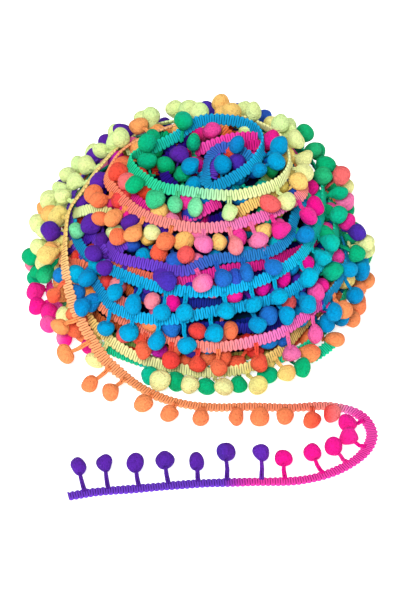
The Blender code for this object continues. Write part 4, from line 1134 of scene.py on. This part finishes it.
def make_loose_end(loose, pompoms, braid, yarn):
    tape = make_braid("loose_braid", loose, OUTER_COLUMNS, ROWS_PER_RIB, braid)
    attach(tape, "root")
    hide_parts("loose_tape")
    first = 0
    for number, strip in enumerate(STRIPS, 1):
        group = some(pompoms, slice(first, first + strip.pompoms))
        first += strip.pompoms
        for part, make, *detail in (("pompoms", make_pompoms, OUTER_DETAIL), ("stems", make_stems)):
            piece = make(f"loose_{part}_of_strip_{number}", group, number, *detail, yarn)
            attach(piece, "root")
            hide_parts(f"loose_pompoms_{number}")


def on_the_roll(piece):
    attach(piece, "root")
    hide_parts("wound_roll")


def make_shares(label, pompoms, kind, detail, yarn, turns):
    """Pompoms and their stems, in shares that are few enough for one piece."""
    for share in range(math.ceil(len(pompoms.dye) / POMPOMS_A_PIECE)):
        group = some(pompoms, slice(share * POMPOMS_A_PIECE, (share + 1) * POMPOMS_A_PIECE))
        on_the_roll(make_pompoms(f"{label}_pompoms_{share + 1}", group, kind + share, detail, yarn, turns))
        on_the_roll(make_stems(f"{label}_stems_{share + 1}", group, kind + share, yarn))


def make_outer_turns(strands, pompoms, turns, braid, yarn):
    for name, course in strands.items():
        on_the_roll(make_braid(name, course, OUTER_COLUMNS, ROWS_PER_RIB, braid))
    make_shares("outer", pompoms, 20, OUTER_DETAIL, yarn, turns)


def make_inner_turns(outer, tapes, turns, braid, yarn):
    short = {name: short_course(rows, turns) for name, rows in SHORT_STRETCHES.items()}
    short |= {name: leaning_course(lean, bends) for name, (lean, bends) in LEANING_STRETCHES.items()}
    tapes = np.vstack([tapes, tape_lines(short.values())])
    peeping = tucked(peeping_pompoms(turns), outer, tapes, turns, PEEPING_PROUD)
    for name, course in short.items():
        on_the_roll(make_braid(name, course, OUTER_COLUMNS, ROWS_PER_RIB, braid, turns))
    make_shares("peeping", peeping, 40, OUTER_DETAIL, yarn, turns)
    courses = [inner_course(turn, number, turns) for number, turn in enumerate(INNER_TURNS)]
    hung = together(*(hung_pompoms(course, 30 + number) for number, course in enumerate(courses)))
    seen = together(outer, peeping)
    inner = tucked(hung, seen, np.vstack([tapes, tape_lines(courses)]), turns, INNER_PROUD)
    bearing, rise = np.array(KEPT_CLEAR, float).T
    aside = np.arccos(unit(inner.centre) @ towards(bearing, rise).T).min(1) * DOME_RADIUS
    inner = some(inner, aside > CLEAR_REACH)
    for number, course in enumerate(courses, 1):
        on_the_roll(make_braid(
            f"inner_turn_{number}", course, INNER_COLUMNS, INNER_ROWS_PER_RIB, braid, turns))
    make_shares("inner", inner, 50, INNER_DETAIL, yarn, turns)


def make_packed_middle(turns, braid):
    """The turns deep inside, which close the gaps: their stacked edges stand out as ridges."""
    bearing = np.arange(0, 360, MIDDLE_STEP)
    rises = np.linspace(0, MIDDLE_TOP, MIDDLE_LEVELS)
    points, dyes = [], []
    for level, rise in enumerate(rises):
        direction = towards(bearing, np.full(len(bearing), rise))
        ridge = MIDDLE_RIDGE * math.cos(math.radians(rise) * DOME_RADIUS / TAPE_WIDTH * 2 * math.pi)
        reach = core_radius(direction, turns) + CORE_INSET - MIDDLE_DEPTH + ridge
        points.append(direction * reach[:, None])
        round_it = np.sin(MIDDLE_PATCHES * np.radians(bearing) + level * MIDDLE_DRIFT)
        dyes.append(MIDDLE_DYE + MIDDLE_DYE_ROUND * round_it + MIDDLE_DYE_UP * np.sin(level * MIDDLE_LAYERS))
    rings = np.vstack(points)
    rings[:, 2] = np.maximum(rings[:, 2], FLOOR_CLEAR)
    marks = {
        # Painted shade all over the middle: full depth shade, and most of the grooves' shade.
        "dye": np.concatenate(dyes),
        "hollow": np.full(len(rings), MIDDLE_PAINTED_SHADE),
        "sunk": np.ones(len(rings)),
    }
    faces = tube_faces(len(rises), len(bearing))
    return make_piece("packed_middle", rings, faces, marks, braid)


def main():
    upper = course_of(on_table(LOOSE_END), *map(on_roll, UPPER_TURNS.values()))
    lower = course_of(*map(on_roll, LOWER_TURNS.values()))
    meeting = distance_to(upper, UPPER_TURNS["climb_over_left_shoulder"][0])
    climbing = cut(upper, meeting + SAMPLE_STEP, length_of(upper))
    turns = np.vstack([climbing.middle, lower.middle])
    tapes = tape_lines((upper, lower))
    hung = together(
        hung_pompoms(upper, UPPER_KIND, UPPER_HANGS, UPPER_PRESSED_IN, UPPER_DYES),
        hung_pompoms(lower, LOWER_KIND, LOWER_HANGS, LOWER_PRESSED_IN, LOWER_DYES))
    pompoms = settled(hung, tapes, turns)
    room = np.linalg.norm(pompoms.centre[:, None] - tapes[None], axis=2).min(1)
    outer = np.arange(len(room)) >= ON_STRIPS

    braid = braid_finish()
    yarn = pompom_finish()
    make_loose_end(cut(upper, 0, meeting), some(pompoms, ~outer), braid, yarn)
    strands = stretches_of(cut(upper, meeting, length_of(upper)), UPPER_TURNS)
    strands |= stretches_of(redyed(lower, LOWER_REDYED), LOWER_TURNS)
    on_roll_pompoms = some(pompoms, outer & (room > POMPOM_CRUSHED))
    make_outer_turns(strands, on_roll_pompoms, turns, braid, yarn)
    make_inner_turns(on_roll_pompoms, tapes, turns, braid, yarn)
    on_the_roll(make_packed_middle(turns, braid))
    make_room()
    make_camera()


main()
